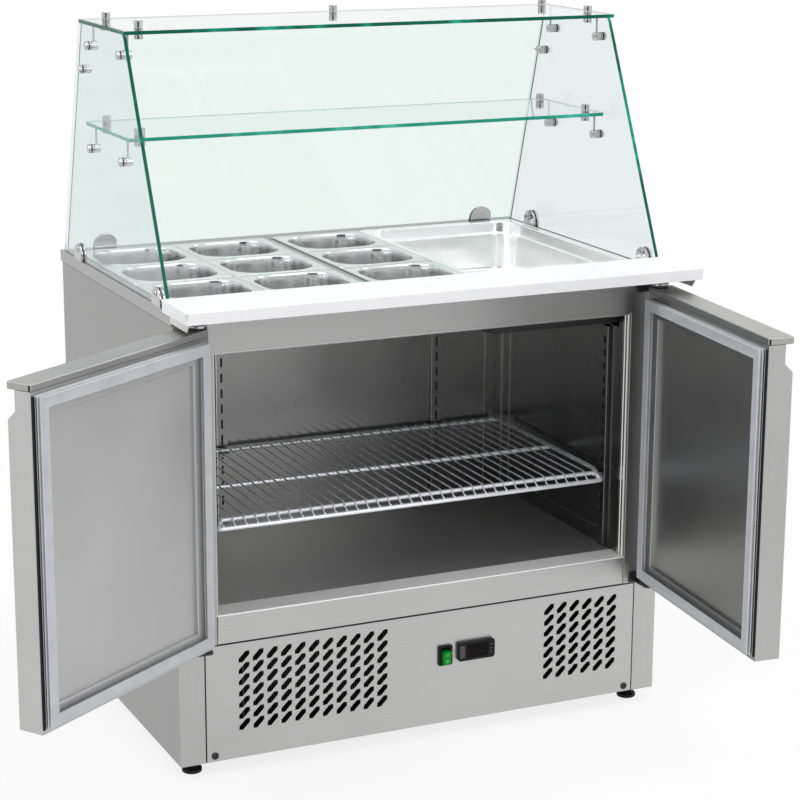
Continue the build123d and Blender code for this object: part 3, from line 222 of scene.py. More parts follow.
class Finish:
    """One finish: its Principled shader, and short ways to add the nodes that drive it."""

    def __init__(self, name, **settings):
        self.material = bpy.data.materials.new(name)
        self.material.use_nodes = True
        self.tree = self.material.node_tree
        self.shader = self.tree.nodes["Principled BSDF"]
        self.output = self.tree.nodes["Material Output"]
        self.place = self.tree.nodes.new("ShaderNodeTexCoord").outputs["Object"]
        for socket, value in settings.items():
            self.set(socket.replace("_", " "), value)

    def set(self, socket, value):
        field = self.shader.inputs[socket]
        field.default_value = (*value, 1) if isinstance(value, tuple) else value

    def node(self, kind, **values):
        made = self.tree.nodes.new("ShaderNode" + kind)
        for key, value in values.items():
            setattr(made, key, value)
        return made

    def link(self, source, target):
        self.tree.links.new(source, target)

    def stretched(self, scale, turn=0.0):
        mapping = self.node("Mapping", vector_type="TEXTURE")
        mapping.inputs["Scale"].default_value = tuple(1 / s for s in scale)
        mapping.inputs["Rotation"].default_value = (0, 0, turn)
        self.link(self.place, mapping.inputs["Vector"])
        return mapping.outputs["Vector"]

    def noise(self, scale, stretch=(1, 1, 1), detail=3, turn=0.0):
        made = self.node("TexNoise")
        made.inputs["Scale"].default_value = scale
        made.inputs["Detail"].default_value = detail
        self.link(self.stretched(stretch, turn), made.inputs["Vector"])
        return made.outputs["Fac"]

    def level(self, source, low, high, start=0.3, end=0.7):
        made = self.node("MapRange")
        made.inputs["From Min"].default_value = start
        made.inputs["From Max"].default_value = end
        made.inputs["To Min"].default_value = low
        made.inputs["To Max"].default_value = high
        self.link(source, made.inputs["Value"])
        return made.outputs["Result"]

    def colour(self, source, *stops):
        ramp = self.node("ValToRGB")
        points = ramp.color_ramp.elements
        for index, (at, colour) in enumerate(stops):
            point = points[index] if index < 2 else points.new(at)
            point.position = at
            point.color = (*colour, 1)
        self.link(source, ramp.inputs["Fac"])
        self.link(ramp.outputs["Color"], self.shader.inputs["Base Color"])

    def two_tones(self, source, dark, light):
        self.colour(source, (0.3, dark), (0.7, light))

    def steel_tones(self, source, dark, light, cool, rough):
        """The two tones of a sheet and its gloss, both from one pattern."""
        self.colour(source, (0.34, grey(dark, cool)), (0.66, grey(light, cool)))
        self.rough(source, *rough)

    def rough(self, source, low, high):
        self.link(self.level(source, low, high), self.shader.inputs["Roughness"])

    def joined(self, first, second, share):
        made = self.node("Mix")
        made.inputs[0].default_value = share
        self.link(first, made.inputs[2])
        self.link(second, made.inputs[3])
        return made.outputs[0]

    def bump(self, source, depth, strength):
        made = self.node("Bump")
        made.inputs["Strength"].default_value = strength
        made.inputs["Distance"].default_value = depth
        self.link(source, made.inputs["Height"])
        self.link(made.outputs["Normal"], self.shader.inputs["Normal"])


def grey(value, cool=0.0):
    return (value, value, value * (1 + cool))


FINE_BRUSHING = (10, 900)
BROAD_STREAKS = (1.6, 220)


def brushed_steel(name, along, dark, light, rough=(0.28, 0.42), cool=-0.006, turn=0.0, depth=0.00004):
    """Fine brushing lines along one axis, longer streaks, and slow clouds of tone."""
    finish = Finish(name, Metallic=1.0)
    fine, broad = (
        tuple(lengthwise if axis == along else crosswise for axis in "xyz")
        for lengthwise, crosswise in (FINE_BRUSHING, BROAD_STREAKS)
    )
    lines = finish.noise(1, fine, detail=2, turn=turn)
    streaks = finish.noise(1, broad, detail=2, turn=turn)
    clouds = finish.noise(2.6, detail=2)
    grain = finish.joined(lines, streaks, share=0.25)
    finish.steel_tones(finish.joined(grain, clouds, share=0.4), dark, light, cool, rough)
    finish.bump(grain, depth, strength=0.35)
    return finish.material


def rolled_steel(name, dark, light, rough, cool=-0.012, metal=1.0):
    """Plain rolled sheet: slow clouds of tone and gloss under a very fine even grain."""
    finish = Finish(name, Metallic=metal)
    clouds = finish.noise(3.4, detail=3)
    grain = finish.noise(700, detail=2)
    finish.steel_tones(finish.joined(clouds, grain, share=0.12), dark, light, cool, rough)
    finish.bump(grain, depth=0.00001, strength=0.2)
    return finish.material


def smooth_steel(name, dark, light, rough, cool=0.0, metal=1.0, depth=0.00003):
    """Polished sheet: clouds of tone under faint wiping marks."""
    finish = Finish(name, Metallic=metal)
    clouds = finish.noise(9)
    wiping = finish.noise(1, (140, 24, 140), detail=2)
    finish.steel_tones(finish.joined(clouds, wiping, share=0.35), dark, light, cool, rough)
    finish.bump(wiping, depth, strength=0.3)
    return finish.material


def moulded_plastic(name, dark, light, rough=(0.35, 0.5), grain=2600, depth=0.00005, **settings):
    """Moulded or coated face: clouds of tone over a finely pitted grain."""
    finish = Finish(name, **settings)
    clouds = finish.noise(40, detail=2)
    pits = finish.noise(grain, detail=2)
    finish.two_tones(clouds, dark, light)
    finish.rough(finish.joined(clouds, pits, share=0.5), *rough)
    finish.bump(pits, depth, strength=0.4)
    return finish.material


def board_plastic():
    """White board with faint crossing knife marks and a satin face."""
    finish = Finish("board_plastic")
    clouds = finish.noise(12, detail=2)
    marks = finish.noise(1, (30, 900, 30), detail=1, turn=0.5)
    crossing = finish.noise(1, (30, 800, 30), detail=1, turn=-0.7)
    cuts = finish.joined(marks, crossing, share=0.5)
    finish.two_tones(finish.joined(clouds, cuts, share=0.3), (0.80, 0.80, 0.82), (0.86, 0.86, 0.87))
    finish.rough(cuts, low=0.38, high=0.52)
    finish.bump(cuts, depth=0.00004, strength=0.35)
    return finish.material


def pane_glass(name, tint, shade):
    """Clear glass that lets lamp light through, so that what stands behind it stays lit."""
    finish = Finish(name, IOR=1.25, Transmission_Weight=1.0, Base_Color=tint)
    smears = finish.noise(6, detail=2)
    finish.rough(smears, low=0.0, high=0.012)
    clear = finish.node("BsdfTransparent")
    clear.inputs["Color"].default_value = (*shade, 1)
    path = finish.node("LightPath")
    mix = finish.node("MixShader")
    finish.link(path.outputs["Is Shadow Ray"], mix.inputs[0])
    finish.link(finish.shader.outputs[0], mix.inputs[1])
    finish.link(clear.outputs[0], mix.inputs[2])
    finish.link(mix.outputs[0], finish.output.inputs["Surface"])
    return finish.material


def glass_edge(name, deep, bright):
    """The ground edge of a pane, where the green of the glass gathers in bands along it."""
    finish = Finish(name, IOR=1.5, Specular_IOR_Level=0.12)
    bands = finish.noise(1, (9, 9, 5), detail=2)
    fine = finish.noise(1, (60, 60, 60), detail=1)
    finish.colour(finish.joined(bands, fine, share=0.2), (0.36, deep), (0.52, deep), (0.66, bright))
    finish.rough(fine, low=0.08, high=0.2)
    return finish.material


OUTER_STEEL = brushed_steel("outer_steel", "x", 0.46, 0.54)
OUTER_STEEL_UPRIGHT = brushed_steel("outer_steel_upright", "z", 0.44, 0.52)
SIDE_STEEL = brushed_steel("side_steel", "z", 0.27, 0.33)
# painted shade: the front frame's steel is darker than the outer steel, standing in for the shade on the
# header under the board's overhang
FRAME_STEEL_PAINTED_SHADE = brushed_steel("frame_steel", "x", 0.36, 0.43)
INNER_STEEL = rolled_steel("inner_steel", 0.22, 0.28, rough=(0.22, 0.34))
# painted light: a lighter, less metallic copy of the liner steel for its floor, standing in for the light
# that falls on the floor
LINER_FLOOR_PAINTED_LIGHT = rolled_steel("liner_floor", 0.44, 0.50, rough=(0.28, 0.38), metal=0.7)
# painted light: a near-white strip standing in for the sheen on the floor's front edge
FLOOR_LIP_PAINTED_LIGHT = rolled_steel("floor_lip", 0.86, 0.93, rough=(0.4, 0.5), metal=0.1)
# painted highlight: a near-white hem standing in for the highlight along the floor's front edge
BRIGHT_HEM_PAINTED_HIGHLIGHT = rolled_steel("bright_hem", 0.90, 0.96, rough=(0.4, 0.5), metal=0.3)
BRACKET_STEEL = rolled_steel("bracket_steel", 0.60, 0.70, rough=(0.4, 0.5), metal=0.3)
# painted shade: near-black steel for the base tray, standing in for the shade inside the machine compartment
BASE_STEEL_PAINTED_SHADE = rolled_steel("base_steel", 0.08, 0.12, rough=(0.6, 0.7))
# painted light and shade: the two door linings are one steel in two tones, the left copy lighter and the
# right copy darker
LEFT_LINING_LIT_COPY = rolled_steel("left_lining", 0.50, 0.55, rough=(0.46, 0.56), cool=0.0, metal=0.8)
RIGHT_LINING_SHADED_COPY = rolled_steel("right_lining", 0.44, 0.50, rough=(0.32, 0.42))
# painted highlight: a lighter copy of the liner steel for the bright lines along its folds and hems
LINER_HEM_HIGHLIGHT = rolled_steel("liner_hem", 0.46, 0.54, rough=(0.3, 0.4))
# painted shade: the pans' outsides are near black, standing in for the shade under the worktop
PAN_UNDERSIDE_PAINTED_SHADE = rolled_steel("pan_underside", 0.07, 0.10, rough=(0.75, 0.85))
LEFT_DOOR_STEEL = brushed_steel("left_door_steel", "x", 0.46, 0.54, turn=-LEFT_OPENING)
# painted shade: the right door's skin is a darker copy of the door steel
RIGHT_DOOR_STEEL_SHADED_COPY = brushed_steel("right_door_steel", "x", 0.41, 0.49, turn=RIGHT_OPENING)
CAP_STEEL = rolled_steel("cap_steel", 0.37, 0.45, rough=(0.4, 0.5))
WORKTOP_STEEL = brushed_steel("worktop_steel", "x", 0.34, 0.42)
PAN_STEEL = smooth_steel("pan_steel", 0.64, 0.74, rough=(0.09, 0.16), metal=0.92, depth=0.00001)
# painted light: a much lighter copy of the pan steel for the large pan, standing in for the light on its
# walls
LARGE_PAN_STEEL_PAINTED_LIGHT = smooth_steel(
    "large_pan_steel", 0.88, 0.95, rough=(0.16, 0.26), metal=0.88, depth=0.00001,
)
BRIGHT_TRIM = rolled_steel("bright_trim", 0.62, 0.74, rough=(0.2, 0.3))
CLAMP_CHROME = smooth_steel("clamp_chrome", 0.42, 0.52, rough=(0.02, 0.04), depth=0.000002)
GALVANISED = smooth_steel("galvanised", 0.4, 0.55, rough=(0.35, 0.5), cool=0.02)
FIN_ALUMINIUM = smooth_steel("fin_aluminium", 0.12, 0.18, rough=(0.5, 0.6), cool=0.02)
FOAM = moulded_plastic(
    "foam", (0.78, 0.66, 0.36), (0.86, 0.76, 0.48), rough=(0.7, 0.9), grain=500, depth=0.0004,
)
GASKET_VINYL = moulded_plastic(
    "gasket_vinyl", (0.48, 0.485, 0.52), (0.54, 0.545, 0.58), rough=(0.4, 0.55), grain=900,
)
BLACK_PLASTIC = moulded_plastic(
    "black_plastic", (0.008, 0.008, 0.009), (0.014, 0.014, 0.015), Specular_IOR_Level=0.16,
)
GRIP_PLASTIC = moulded_plastic("grip_plastic", (0.05, 0.05, 0.052), (0.08, 0.08, 0.083))
BLACK_PAINT = moulded_plastic(
    "black_paint", (0.01, 0.01, 0.011), (0.02, 0.02, 0.021), rough=(0.3, 0.42), grain=1200,
)
CARTRIDGE_PLASTIC = moulded_plastic("cartridge_plastic", (0.02, 0.02, 0.021), (0.035, 0.035, 0.037))
MACHINE_PAINT = moulded_plastic(
    "machine_paint", (0.012, 0.012, 0.013), (0.03, 0.03, 0.03), rough=(0.22, 0.34), grain=300,
)
DARK_WINDOW = moulded_plastic(
    "dark_window", (0.004, 0.003, 0.003), (0.007, 0.005, 0.005), rough=(0.06, 0.1), Specular_IOR_Level=0.08,
)
SHELF_COATING = moulded_plastic(
    "shelf_coating", (0.86, 0.88, 0.94), (0.90, 0.92, 0.97), rough=(0.22, 0.32), grain=700, Metallic=0.45,
)
BOARD_PLASTIC = board_plastic()
GREEN_ROCKER = moulded_plastic(
    "green_rocker", (0.0, 0.22, 0.014), (0.003, 0.29, 0.022), rough=(0.18, 0.26), Specular_IOR_Level=0.2,
)
ROCKER_MARK = moulded_plastic("rocker_mark", (0.1, 0.7, 0.2), (0.16, 0.8, 0.28), rough=(0.3, 0.4))
STAND_GLASS = pane_glass("stand_glass", (0.815, 0.86, 0.875), (0.86, 0.9, 0.89))
SHELF_GLASS = pane_glass("shelf_glass", (0.90, 0.935, 0.935), (0.88, 0.92, 0.91))
BACK_GLASS = pane_glass("back_glass", (0.835, 0.925, 0.89), (0.86, 0.92, 0.9))
GLASS_EDGE = glass_edge("glass_edge", (0.0, 0.10, 0.066), (0.012, 0.40, 0.25))
PALE_GLASS_EDGE = glass_edge("pale_glass_edge", (0.02, 0.28, 0.20), (0.07, 0.50, 0.38))

FINISHES = {
    "outer_steel": OUTER_STEEL,
    "inner_steel": INNER_STEEL,
    "worktop_steel": WORKTOP_STEEL,
    "pan_steel": PAN_STEEL,
    "bright_trim": BRIGHT_TRIM,
    "foam": FOAM,
    "gasket_vinyl": GASKET_VINYL,
    "black_plastic": BLACK_PLASTIC,
    "black_paint": BLACK_PAINT,
    "cartridge_plastic": CARTRIDGE_PLASTIC,
    "dark_window": DARK_WINDOW,
    "stand_glass": STAND_GLASS,
    "clamp_chrome": CLAMP_CHROME,
    "shelf_coating": SHELF_COATING,
    "board_plastic": BOARD_PLASTIC,
    "green_rocker": GREEN_ROCKER,
    "machine_paint": MACHINE_PAINT,
    "fin_aluminium": FIN_ALUMINIUM,
    "galvanised": GALVANISED,
}

NODE_SLOT = {row["node"]: row["material_slot"] for row in frame["record"]["subparts"]}
NODE_BODY = {node: body for body, nodes in frame["record"]["behaviour"]["bodies"].items() for node in nodes}


def dress_nodes():
    """Every carried-over node gets the finish of its slot in the record."""
    for name, slot in NODE_SLOT.items():
        node = frame["nodes"][name]
        node.data.materials.clear()
        node.data.materials.append(FINISHES[slot])


# Ways to make a piece

WELD = 0.00002
ONE_FLAT_FACE = math.radians(0.6)
ROOM_TO_ROUND = 2.2
BOX_EDGE = 0.0002
TUBE_SHARP = 50


def piece(name, mesh, nodes, finishes=None, replaces=True):
    """Puts a finished mesh on the body and the slot of the first of its CAD nodes."""
    made = bpy.data.objects.new(name, mesh)
    bpy.context.scene.collection.objects.link(made)
    for finish in finishes or [FINISHES[NODE_SLOT[nodes[0]]]]:
        mesh.materials.append(finish)
    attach(made, NODE_BODY[nodes[0]])
    if replaces:
        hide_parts(*nodes)
    return made


def finished(shape, name, sharp=None, flat_over=None):
    """The mesh of a bmesh: flat faces, or smooth ones whose edges stay sharp past an angle in degrees.

    Faces larger than flat_over square metres keep their own flat shade among smooth ones.
    """
    bmesh.ops.recalc_face_normals(shape, faces=shape.faces)
    mesh = bpy.data.meshes.new(name)
    shape.to_mesh(mesh)
    shape.free()
    if sharp is not None:
        mesh.shade_smooth()
        mesh.set_sharp_from_angle(angle=math.radians(sharp))
        for face in mesh.polygons:
            if flat_over and face.area > flat_over:
                face.use_smooth = False
    return mesh


def joined_mesh(name, meshes):
    """One mesh from several, which keep their smooth faces and their slots."""
    shape = bmesh.new()
    for mesh in meshes:
        shape.from_mesh(mesh)
        bpy.data.meshes.remove(mesh)
    mesh = bpy.data.meshes.new(name)
    shape.to_mesh(mesh)
    shape.free()
    return mesh


def welded_copy(node):
    """The node's own shape with its doubled corners joined and its flat faces made whole."""
    shape = bmesh.new()
    shape.from_mesh(frame["nodes"][node].data)
    bmesh.ops.remove_doubles(shape, verts=shape.verts, dist=WELD)
    bmesh.ops.dissolve_limit(shape, angle_limit=ONE_FLAT_FACE, verts=shape.verts, edges=shape.edges)
    return shape


def anywhere(start, end):
    return True


def round_edges(shape, radius, chosen=anywhere, segments=3, least=35):
    """Rounds the outward edges that are sharper than an angle and that the test picks."""
    edges = [
        edge
        for edge in shape.edges
        if len(edge.link_faces) == 2
        and edge.calc_face_angle_signed(0) > math.radians(least)
        and edge.calc_length() > ROOM_TO_ROUND * radius
        and chosen(edge.verts[0].co, edge.verts[1].co)
    ]
    bmesh.ops.bevel(
        shape, geom=edges, offset=radius, segments=segments, profile=0.5, affect="EDGES", clamp_overlap=True,
    )


def softened(name, node, radius=0.0006, chosen=anywhere, segments=3, finishes=None):
    shape = welded_copy(node)
    round_edges(shape, radius, chosen, segments)
    return piece(name, finished(shape, name), [node], finishes)


def lathed(name, profile, origin, axis, steps=24, sharp=35):
    """Turns a closed outline of (radius, height) pairs about an axis."""
    turn = Vector(axis).to_track_quat("Z", "Y").to_matrix().to_4x4()
    place = Matrix.Translation(origin) @ turn
    shape = bmesh.new()
    rings = []
    for radius, height in profile:
        if radius == 0:
            rings.append([shape.verts.new(place @ Vector((0, 0, height)))])
            continue
        rings.append([
            shape.verts.new(place @ Vector((radius * math.cos(angle), radius * math.sin(angle), height)))
            for angle in (2 * math.pi * step / steps for step in range(steps))
        ])
    closed = profile[0][0] != 0
    for index in range(len(rings) if closed else len(rings) - 1):
        near, far = rings[index], rings[(index + 1) % len(rings)]
        for step in range(steps):
            after = (step + 1) % steps
            corners = [near[spot % len(near)] for spot in (step, after)]
            corners += [far[spot % len(far)] for spot in (after, step)]
            shape.faces.new(list(dict.fromkeys(corners)))
    return finished(shape, name, sharp)


def corner_loop(half_x, half_y, corner, steps=8):
    """A closed loop of points round a rectangle with rounded corners."""
    points = []
    for turn, (side_x, side_y) in enumerate(((1, 1), (-1, 1), (-1, -1), (1, -1))):
        for step in range(steps + 1):
            angle = math.radians(90) * (turn + step / steps)
            points.append((
                side_x * (half_x - corner) + corner * math.cos(angle),
                side_y * (half_y - corner) + corner * math.sin(angle),
            ))
    return points


def lofted(name, loops, place, sharp=35, closed=False):
    """Skins a stack of loops of points, with a cap on both ends, or round again where the stack is a ring."""
    shape = bmesh.new()
    rings = [[shape.verts.new(place(point)) for point in loop] for loop in loops]
    pairs = list(zip(rings, rings[1:]))
    if closed:
        pairs.append((rings[-1], rings[0]))
    else:
        shape.faces.new(rings[0])
        shape.faces.new(rings[-1])
    for near, far in pairs:
        for index in range(len(near)):
            after = (index + 1) % len(near)
            shape.faces.new((near[index], near[after], far[after], far[index]))
    return finished(shape, name, sharp)


def tube(name, points, radius, sides=10, closed=False):
    """A round bar along a line of points, with its ends capped or joined to each other."""
    curve = bpy.data.curves.new(name, "CURVE")
    curve.dimensions = "3D"
    curve.bevel_depth = radius
    curve.bevel_resolution = max(0, sides // 2 - 3)
    curve.use_fill_caps = not closed
    line = curve.splines.new("POLY")
    line.points.add(len(points) - 1)
    line.use_cyclic_u = closed
    for spot, point in zip(line.points, points):
        spot.co = (*point, 1)
    carrier = bpy.data.objects.new(name, curve)
    mesh = bpy.data.meshes.new_from_object(carrier)
    bpy.data.objects.remove(carrier)
    shape = bmesh.new()
    shape.from_mesh(mesh)
    bmesh.ops.remove_doubles(shape, verts=shape.verts, dist=WELD / 20)
    return finished(shape, name, TUBE_SHARP)


def level_arc(center, radius, start, end, height, steps=5):
    """Points along a level arc, from one angle to another in degrees."""
    angles = [math.radians(start + (end - start) * step / steps) for step in range(steps + 1)]
    return [(center[0] + radius * math.cos(a), center[1] + radius * math.sin(a), height) for a in angles]


def box_faces(shape, low, high, place=lambda x, y, z: (x, y, z)):
    corners = [
        shape.verts.new(place(x, y, z))
        for z in (low[2], high[2])
        for y in (low[1], high[1])
        for x in (low[0], high[0])
    ]
    for face in ((0, 2, 3, 1), (4, 5, 7, 6), (0, 1, 5, 4), (1, 3, 7, 5), (3, 2, 6, 7), (2, 0, 4, 6)):
        shape.faces.new([corners[index] for index in face])


def mirrored(near, far):
    """The span between two distances from the middle, once on the left and once on the right."""
    return [sorted((side * near, side * far)) for side in (-1, 1)]


def boxes(name, *spans):
    """One mesh of plain boxes, each from its lowest to its highest corner, with fine soft edges."""
    shape = bmesh.new()
    for low, high in spans:
        box_faces(shape, low, high)
    round_edges(shape, BOX_EDGE, segments=2)
    return finished(shape, name)


# Geometry Nodes for what repeats


class Grower:
    """A Geometry Nodes tree with named inputs that makes one plain mesh."""

    def __init__(self, name, **inputs):
        self.tree = bpy.data.node_groups.new(name, "GeometryNodeTree")
        self.tree.interface.new_socket("Geometry", in_out="OUTPUT", socket_type="NodeSocketGeometry")
        for label, kind in inputs.items():
            self.tree.interface.new_socket(label, in_out="INPUT", socket_type="NodeSocket" + kind)
        self.inputs = self.tree.nodes.new("NodeGroupInput").outputs
        self.output = self.tree.nodes.new("NodeGroupOutput")

    def node(self, kind, values=None, **settings):
        made = self.tree.nodes.new(kind)
        for key, value in settings.items():
            setattr(made, key, value)
        for socket, value in (values or {}).items():
            target = made.inputs[socket]
            if isinstance(value, bpy.types.NodeSocket):
                self.tree.links.new(value, target)
            else:
                target.default_value = value
        return made

    def close(self, geometry):
        realized = self.node("GeometryNodeRealizeInstances", {"Geometry": geometry})
        finish = self.node(
            "GeometryNodeSetMaterial", {"Geometry": realized.outputs[0], "Material": self.inputs["Finish"]},
        )
        self.tree.links.new(finish.outputs[0], self.output.inputs[0])

    def grow(self, name, **values):
        carrier = bpy.data.objects.new(name, bpy.data.meshes.new(name))
        bpy.context.scene.collection.objects.link(carrier)
        maker = carrier.modifiers.new("maker", "NODES")
        maker.node_group = self.tree
        items = self.tree.interface.items_tree
        sockets = {item.name: item.identifier for item in items if item.in_out == "INPUT"}
        for label, value in values.items():
            maker[sockets[label]] = value
        mesh = bpy.data.meshes.new_from_object(carrier.evaluated_get(bpy.context.evaluated_depsgraph_get()))
        carrier.modifiers.remove(maker)
        bpy.data.objects.remove(carrier)
        return mesh


CORNER_CUT = 0.499
SEAM_WELD = 0.00001


def slotted_plate_grower():
    """A flat plate in XY, thick along Z, with a field of slots whose corners are cut off."""
    grower = Grower(
        "slotted_plate", Length="Float", Height="Float", Thickness="Float", Columns="Int", Rows="Int",
        PitchX="Float", PitchY="Float", SlotLength="Float", SlotWidth="Float", SlotAngle="Float",
        FieldX="Float", FieldY="Float", Finish="Material",
    )
    given = grower.inputs

    def count(value):
        return grower.node("ShaderNodeMath", {0: value, 1: 1.0}, operation="SUBTRACT").outputs[0]

    def times(first, second):
        return grower.node("ShaderNodeMath", {0: first, 1: second}, operation="MULTIPLY").outputs[0]

    outline = grower.node(
        "GeometryNodeCurvePrimitiveQuadrilateral", {"Width": given["Length"], "Height": given["Height"]},
    )
    slot = grower.node("GeometryNodeCurvePrimitiveQuadrilateral", {
        "Width": given["SlotLength"], "Height": given["SlotWidth"],
    })
    cut = grower.node("GeometryNodeFilletCurve", {
        "Curve": slot.outputs[0], "Radius": times(given["SlotWidth"], CORNER_CUT),
    }, mode="POLY")
    grid = grower.node("GeometryNodeMeshGrid", {
        "Size X": times(count(given["Columns"]), given["PitchX"]),
        "Size Y": times(count(given["Rows"]), given["PitchY"]),
        "Vertices X": given["Columns"],
        "Vertices Y": given["Rows"],
    })
    shift = grower.node("ShaderNodeCombineXYZ", {"X": given["FieldX"], "Y": given["FieldY"]})
    field = grower.node(
        "GeometryNodeTransform", {"Geometry": grid.outputs[0], "Translation": shift.outputs[0]},
    )
    turn = grower.node("ShaderNodeCombineXYZ", {"Z": given["SlotAngle"]})
    spread = grower.node("GeometryNodeInstanceOnPoints", {
        "Points": field.outputs[0], "Instance": cut.outputs[0], "Rotation": turn.outputs[0],
    })
    lines = grower.node("GeometryNodeRealizeInstances", {"Geometry": spread.outputs[0]})
    both = grower.node("GeometryNodeJoinGeometry")
    grower.tree.links.new(outline.outputs[0], both.inputs[0])
    grower.tree.links.new(lines.outputs[0], both.inputs[0])
    filled = grower.node("GeometryNodeFillCurve", {"Curve": both.outputs[0]})
    raised = grower.node("GeometryNodeExtrudeMesh", {
        "Mesh": filled.outputs[0], "Offset Scale": given["Thickness"], "Individual": False,
    })
    under = grower.node("GeometryNodeFlipFaces", {"Mesh": filled.outputs[0]})
    whole = grower.node("GeometryNodeJoinGeometry")
    grower.tree.links.new(raised.outputs[0], whole.inputs[0])
    grower.tree.links.new(under.outputs[0], whole.inputs[0])
    merged = grower.node(
        "GeometryNodeMergeByDistance", {"Geometry": whole.outputs[0], "Distance": SEAM_WELD},
    )
    grower.close(merged.outputs[0])
    return grower


def row_grower():
    """A row of copies of one pattern object along X."""
    grower = Grower(
        "row_of_pieces", Pattern="Object", Count="Int", Pitch="Vector", Start="Vector", Finish="Material",
    )
    given = grower.inputs
    pattern = grower.node("GeometryNodeObjectInfo", {"Object": given["Pattern"], "As Instance": True})
    line = grower.node("GeometryNodeMeshLine", {
        "Count": given["Count"], "Start Location": given["Start"], "Offset": given["Pitch"],
    })
    spread = grower.node(
        "GeometryNodeInstanceOnPoints", {"Points": line.outputs[0], "Instance": pattern.outputs["Geometry"]},
    )
    grower.close(spread.outputs[0])
    return grower


def repeated(grower, name, pattern, finish, count, pitch, start=(0, 0, 0)):
    carrier = bpy.data.objects.new(name + "_pattern", pattern)
    bpy.context.scene.collection.objects.link(carrier)
    mesh = grower.grow(name, Pattern=carrier, Count=count, Pitch=pitch, Start=start, Finish=finish)
    bpy.data.objects.remove(carrier)
    return mesh


# Cabinet


OUTER_SIDE = -0.2995
WORKTOP_EDGE = 0.0014
SHEET_EDGE = 0.0005
FOLDED_EDGE = 0.0009
RAIL_EDGE = 0.0020
THIN_EDGE = 0.0004
BAR_EDGE = 0.0008
RIM_SEAM = 0.0027
RIM_SEAM_INSET = 0.002
SEAM_SINK = 0.0005
SEAM_PROUD = 0.0006
PANEL_SEAM_FRONT = -0.0002
PANEL_SEAM_SIDE = (0.0004, 0.0010)
PANEL_SEAM_TOP = (-0.0008, 0.0004)


def outer_front(start, end):
    return max(start.y, end.y) < OUTER_SIDE


def make_seams():
    """Black strips in the joints between sheets, painted shade for the shadow in the gaps: under the
    worktop's rim, above the lower panel and beside it.
    """
    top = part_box("worktop")[0].z
    side_low, side_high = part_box("left_side_panel")
    half = -side_low.x
    spans = [
        ((left, side_low.y + RIM_SEAM_INSET, top - RIM_SEAM), (right, side_high.y - RIM_SEAM_INSET, top))
        for left, right in mirrored(half - SEAM_SINK, half + SEAM_PROUD)
    ]
    low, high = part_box("lower_panel")
    front, behind = low.y + PANEL_SEAM_FRONT, low.y + SEAM_PROUD
    outside, inside = PANEL_SEAM_SIDE
    spans += [
        ((low.x - outside, front, low.z), (low.x + inside, behind, high.z)),
        ((high.x - inside, front, low.z), (high.x + outside, behind, high.z)),
        ((low.x, front, high.z + PANEL_SEAM_TOP[0]), (high.x, behind, high.z + PANEL_SEAM_TOP[1])),
    ]
    piece("sheet_seams", boxes("sheet_seams", *spans), ["lower_panel"], [BLACK_PAINT], replaces=False)


def make_worktop():
    low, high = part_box("worktop")

    def rim(start, end):
        return all(
            p.x < low.x + NEAR or p.x > high.x - NEAR or p.y < low.y + NEAR or p.y > high.y - NEAR
            for p in (start, end)
        ) and max(start.z, end.z) > high.z - NEAR

    softened("worktop_tray", "worktop", WORKTOP_EDGE, rim, 4)


def make_liner():
    shape = welded_copy("liner")
    round_edges(shape, THIN_EDGE)
    for face in shape.faces:
        # faces that look up get the lighter copy: painted light on the liner's floor
        face.material_index = 1 if face.normal.z > FACING else 0
    piece("liner_box", finished(shape, "liner_box"), ["liner"], [INNER_STEEL, LINER_FLOOR_PAINTED_LIGHT])


def make_cabinet():
    make_worktop()
    softened("left_side_sheet", "left_side_panel", SHEET_EDGE, finishes=[SIDE_STEEL])
    softened("right_side_sheet", "right_side_panel", SHEET_EDGE, finishes=[SIDE_STEEL])
    softened("front_sheet", "front_frame", FOLDED_EDGE, outer_front, finishes=[FRAME_STEEL_PAINTED_SHADE])
    softened("rail_sheet", "bottom_rail", RAIL_EDGE, outer_front, 4)
    softened("post_sheets", "corner_posts", FOLDED_EDGE, outer_front, finishes=[OUTER_STEEL_UPRIGHT])
    make_seams()
    softened("base_tray", "base_pan", SHEET_EDGE, finishes=[BASE_STEEL_PAINTED_SHADE])
    make_liner()
    softened("bar_grid", "divider_bars", BAR_EDGE)
    softened("bracket_angles", "board_brackets", THIN_EDGE, finishes=[BRACKET_STEEL])


# Lower front: the slotted panel, its screws and the feet

SLOT = {"SlotLength": 0.0272, "SlotWidth": 0.0097, "SlotAngle": math.radians(45)}
SLOT_PITCH_X = 0.0251
SLOT_PITCH_Z = 0.0199
SLOT_ROWS = 7
SLOT_TOP = 0.2035
PLAIN_MIDDLE = (-0.04, 0.19)
BEHIND_RIM = 0.003

# Each field of slots: its first slot's place and its columns
LEFT_FIELD = (-0.337, 11)
RIGHT_FIELD = (0.2345, 6)


def slot_field(plates, first, columns, left, right):
    """The part of the panel that one field of slots takes up, upright in its place."""
    low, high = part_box("lower_panel")
    center, middle = (left + right) / 2, (low.z + high.z) / 2
    field_middle = SLOT_TOP - SLOT_PITCH_Z * (SLOT_ROWS - 1) / 2
    mesh = plates.grow(
        "slot_field", Length=right - left, Height=high.z - low.z, Thickness=SHEET, Columns=columns,
        Rows=SLOT_ROWS, PitchX=SLOT_PITCH_X, PitchY=SLOT_PITCH_Z,
        FieldX=first + SLOT_PITCH_X * (columns - 1) / 2 - center, FieldY=field_middle - middle,
        Finish=OUTER_STEEL, **SLOT,
    )
    upright = Matrix.Rotation(math.pi / 2, 4, "X")
    mesh.transform(Matrix.Translation((center, low.y + SHEET, middle)) @ upright)
    return mesh


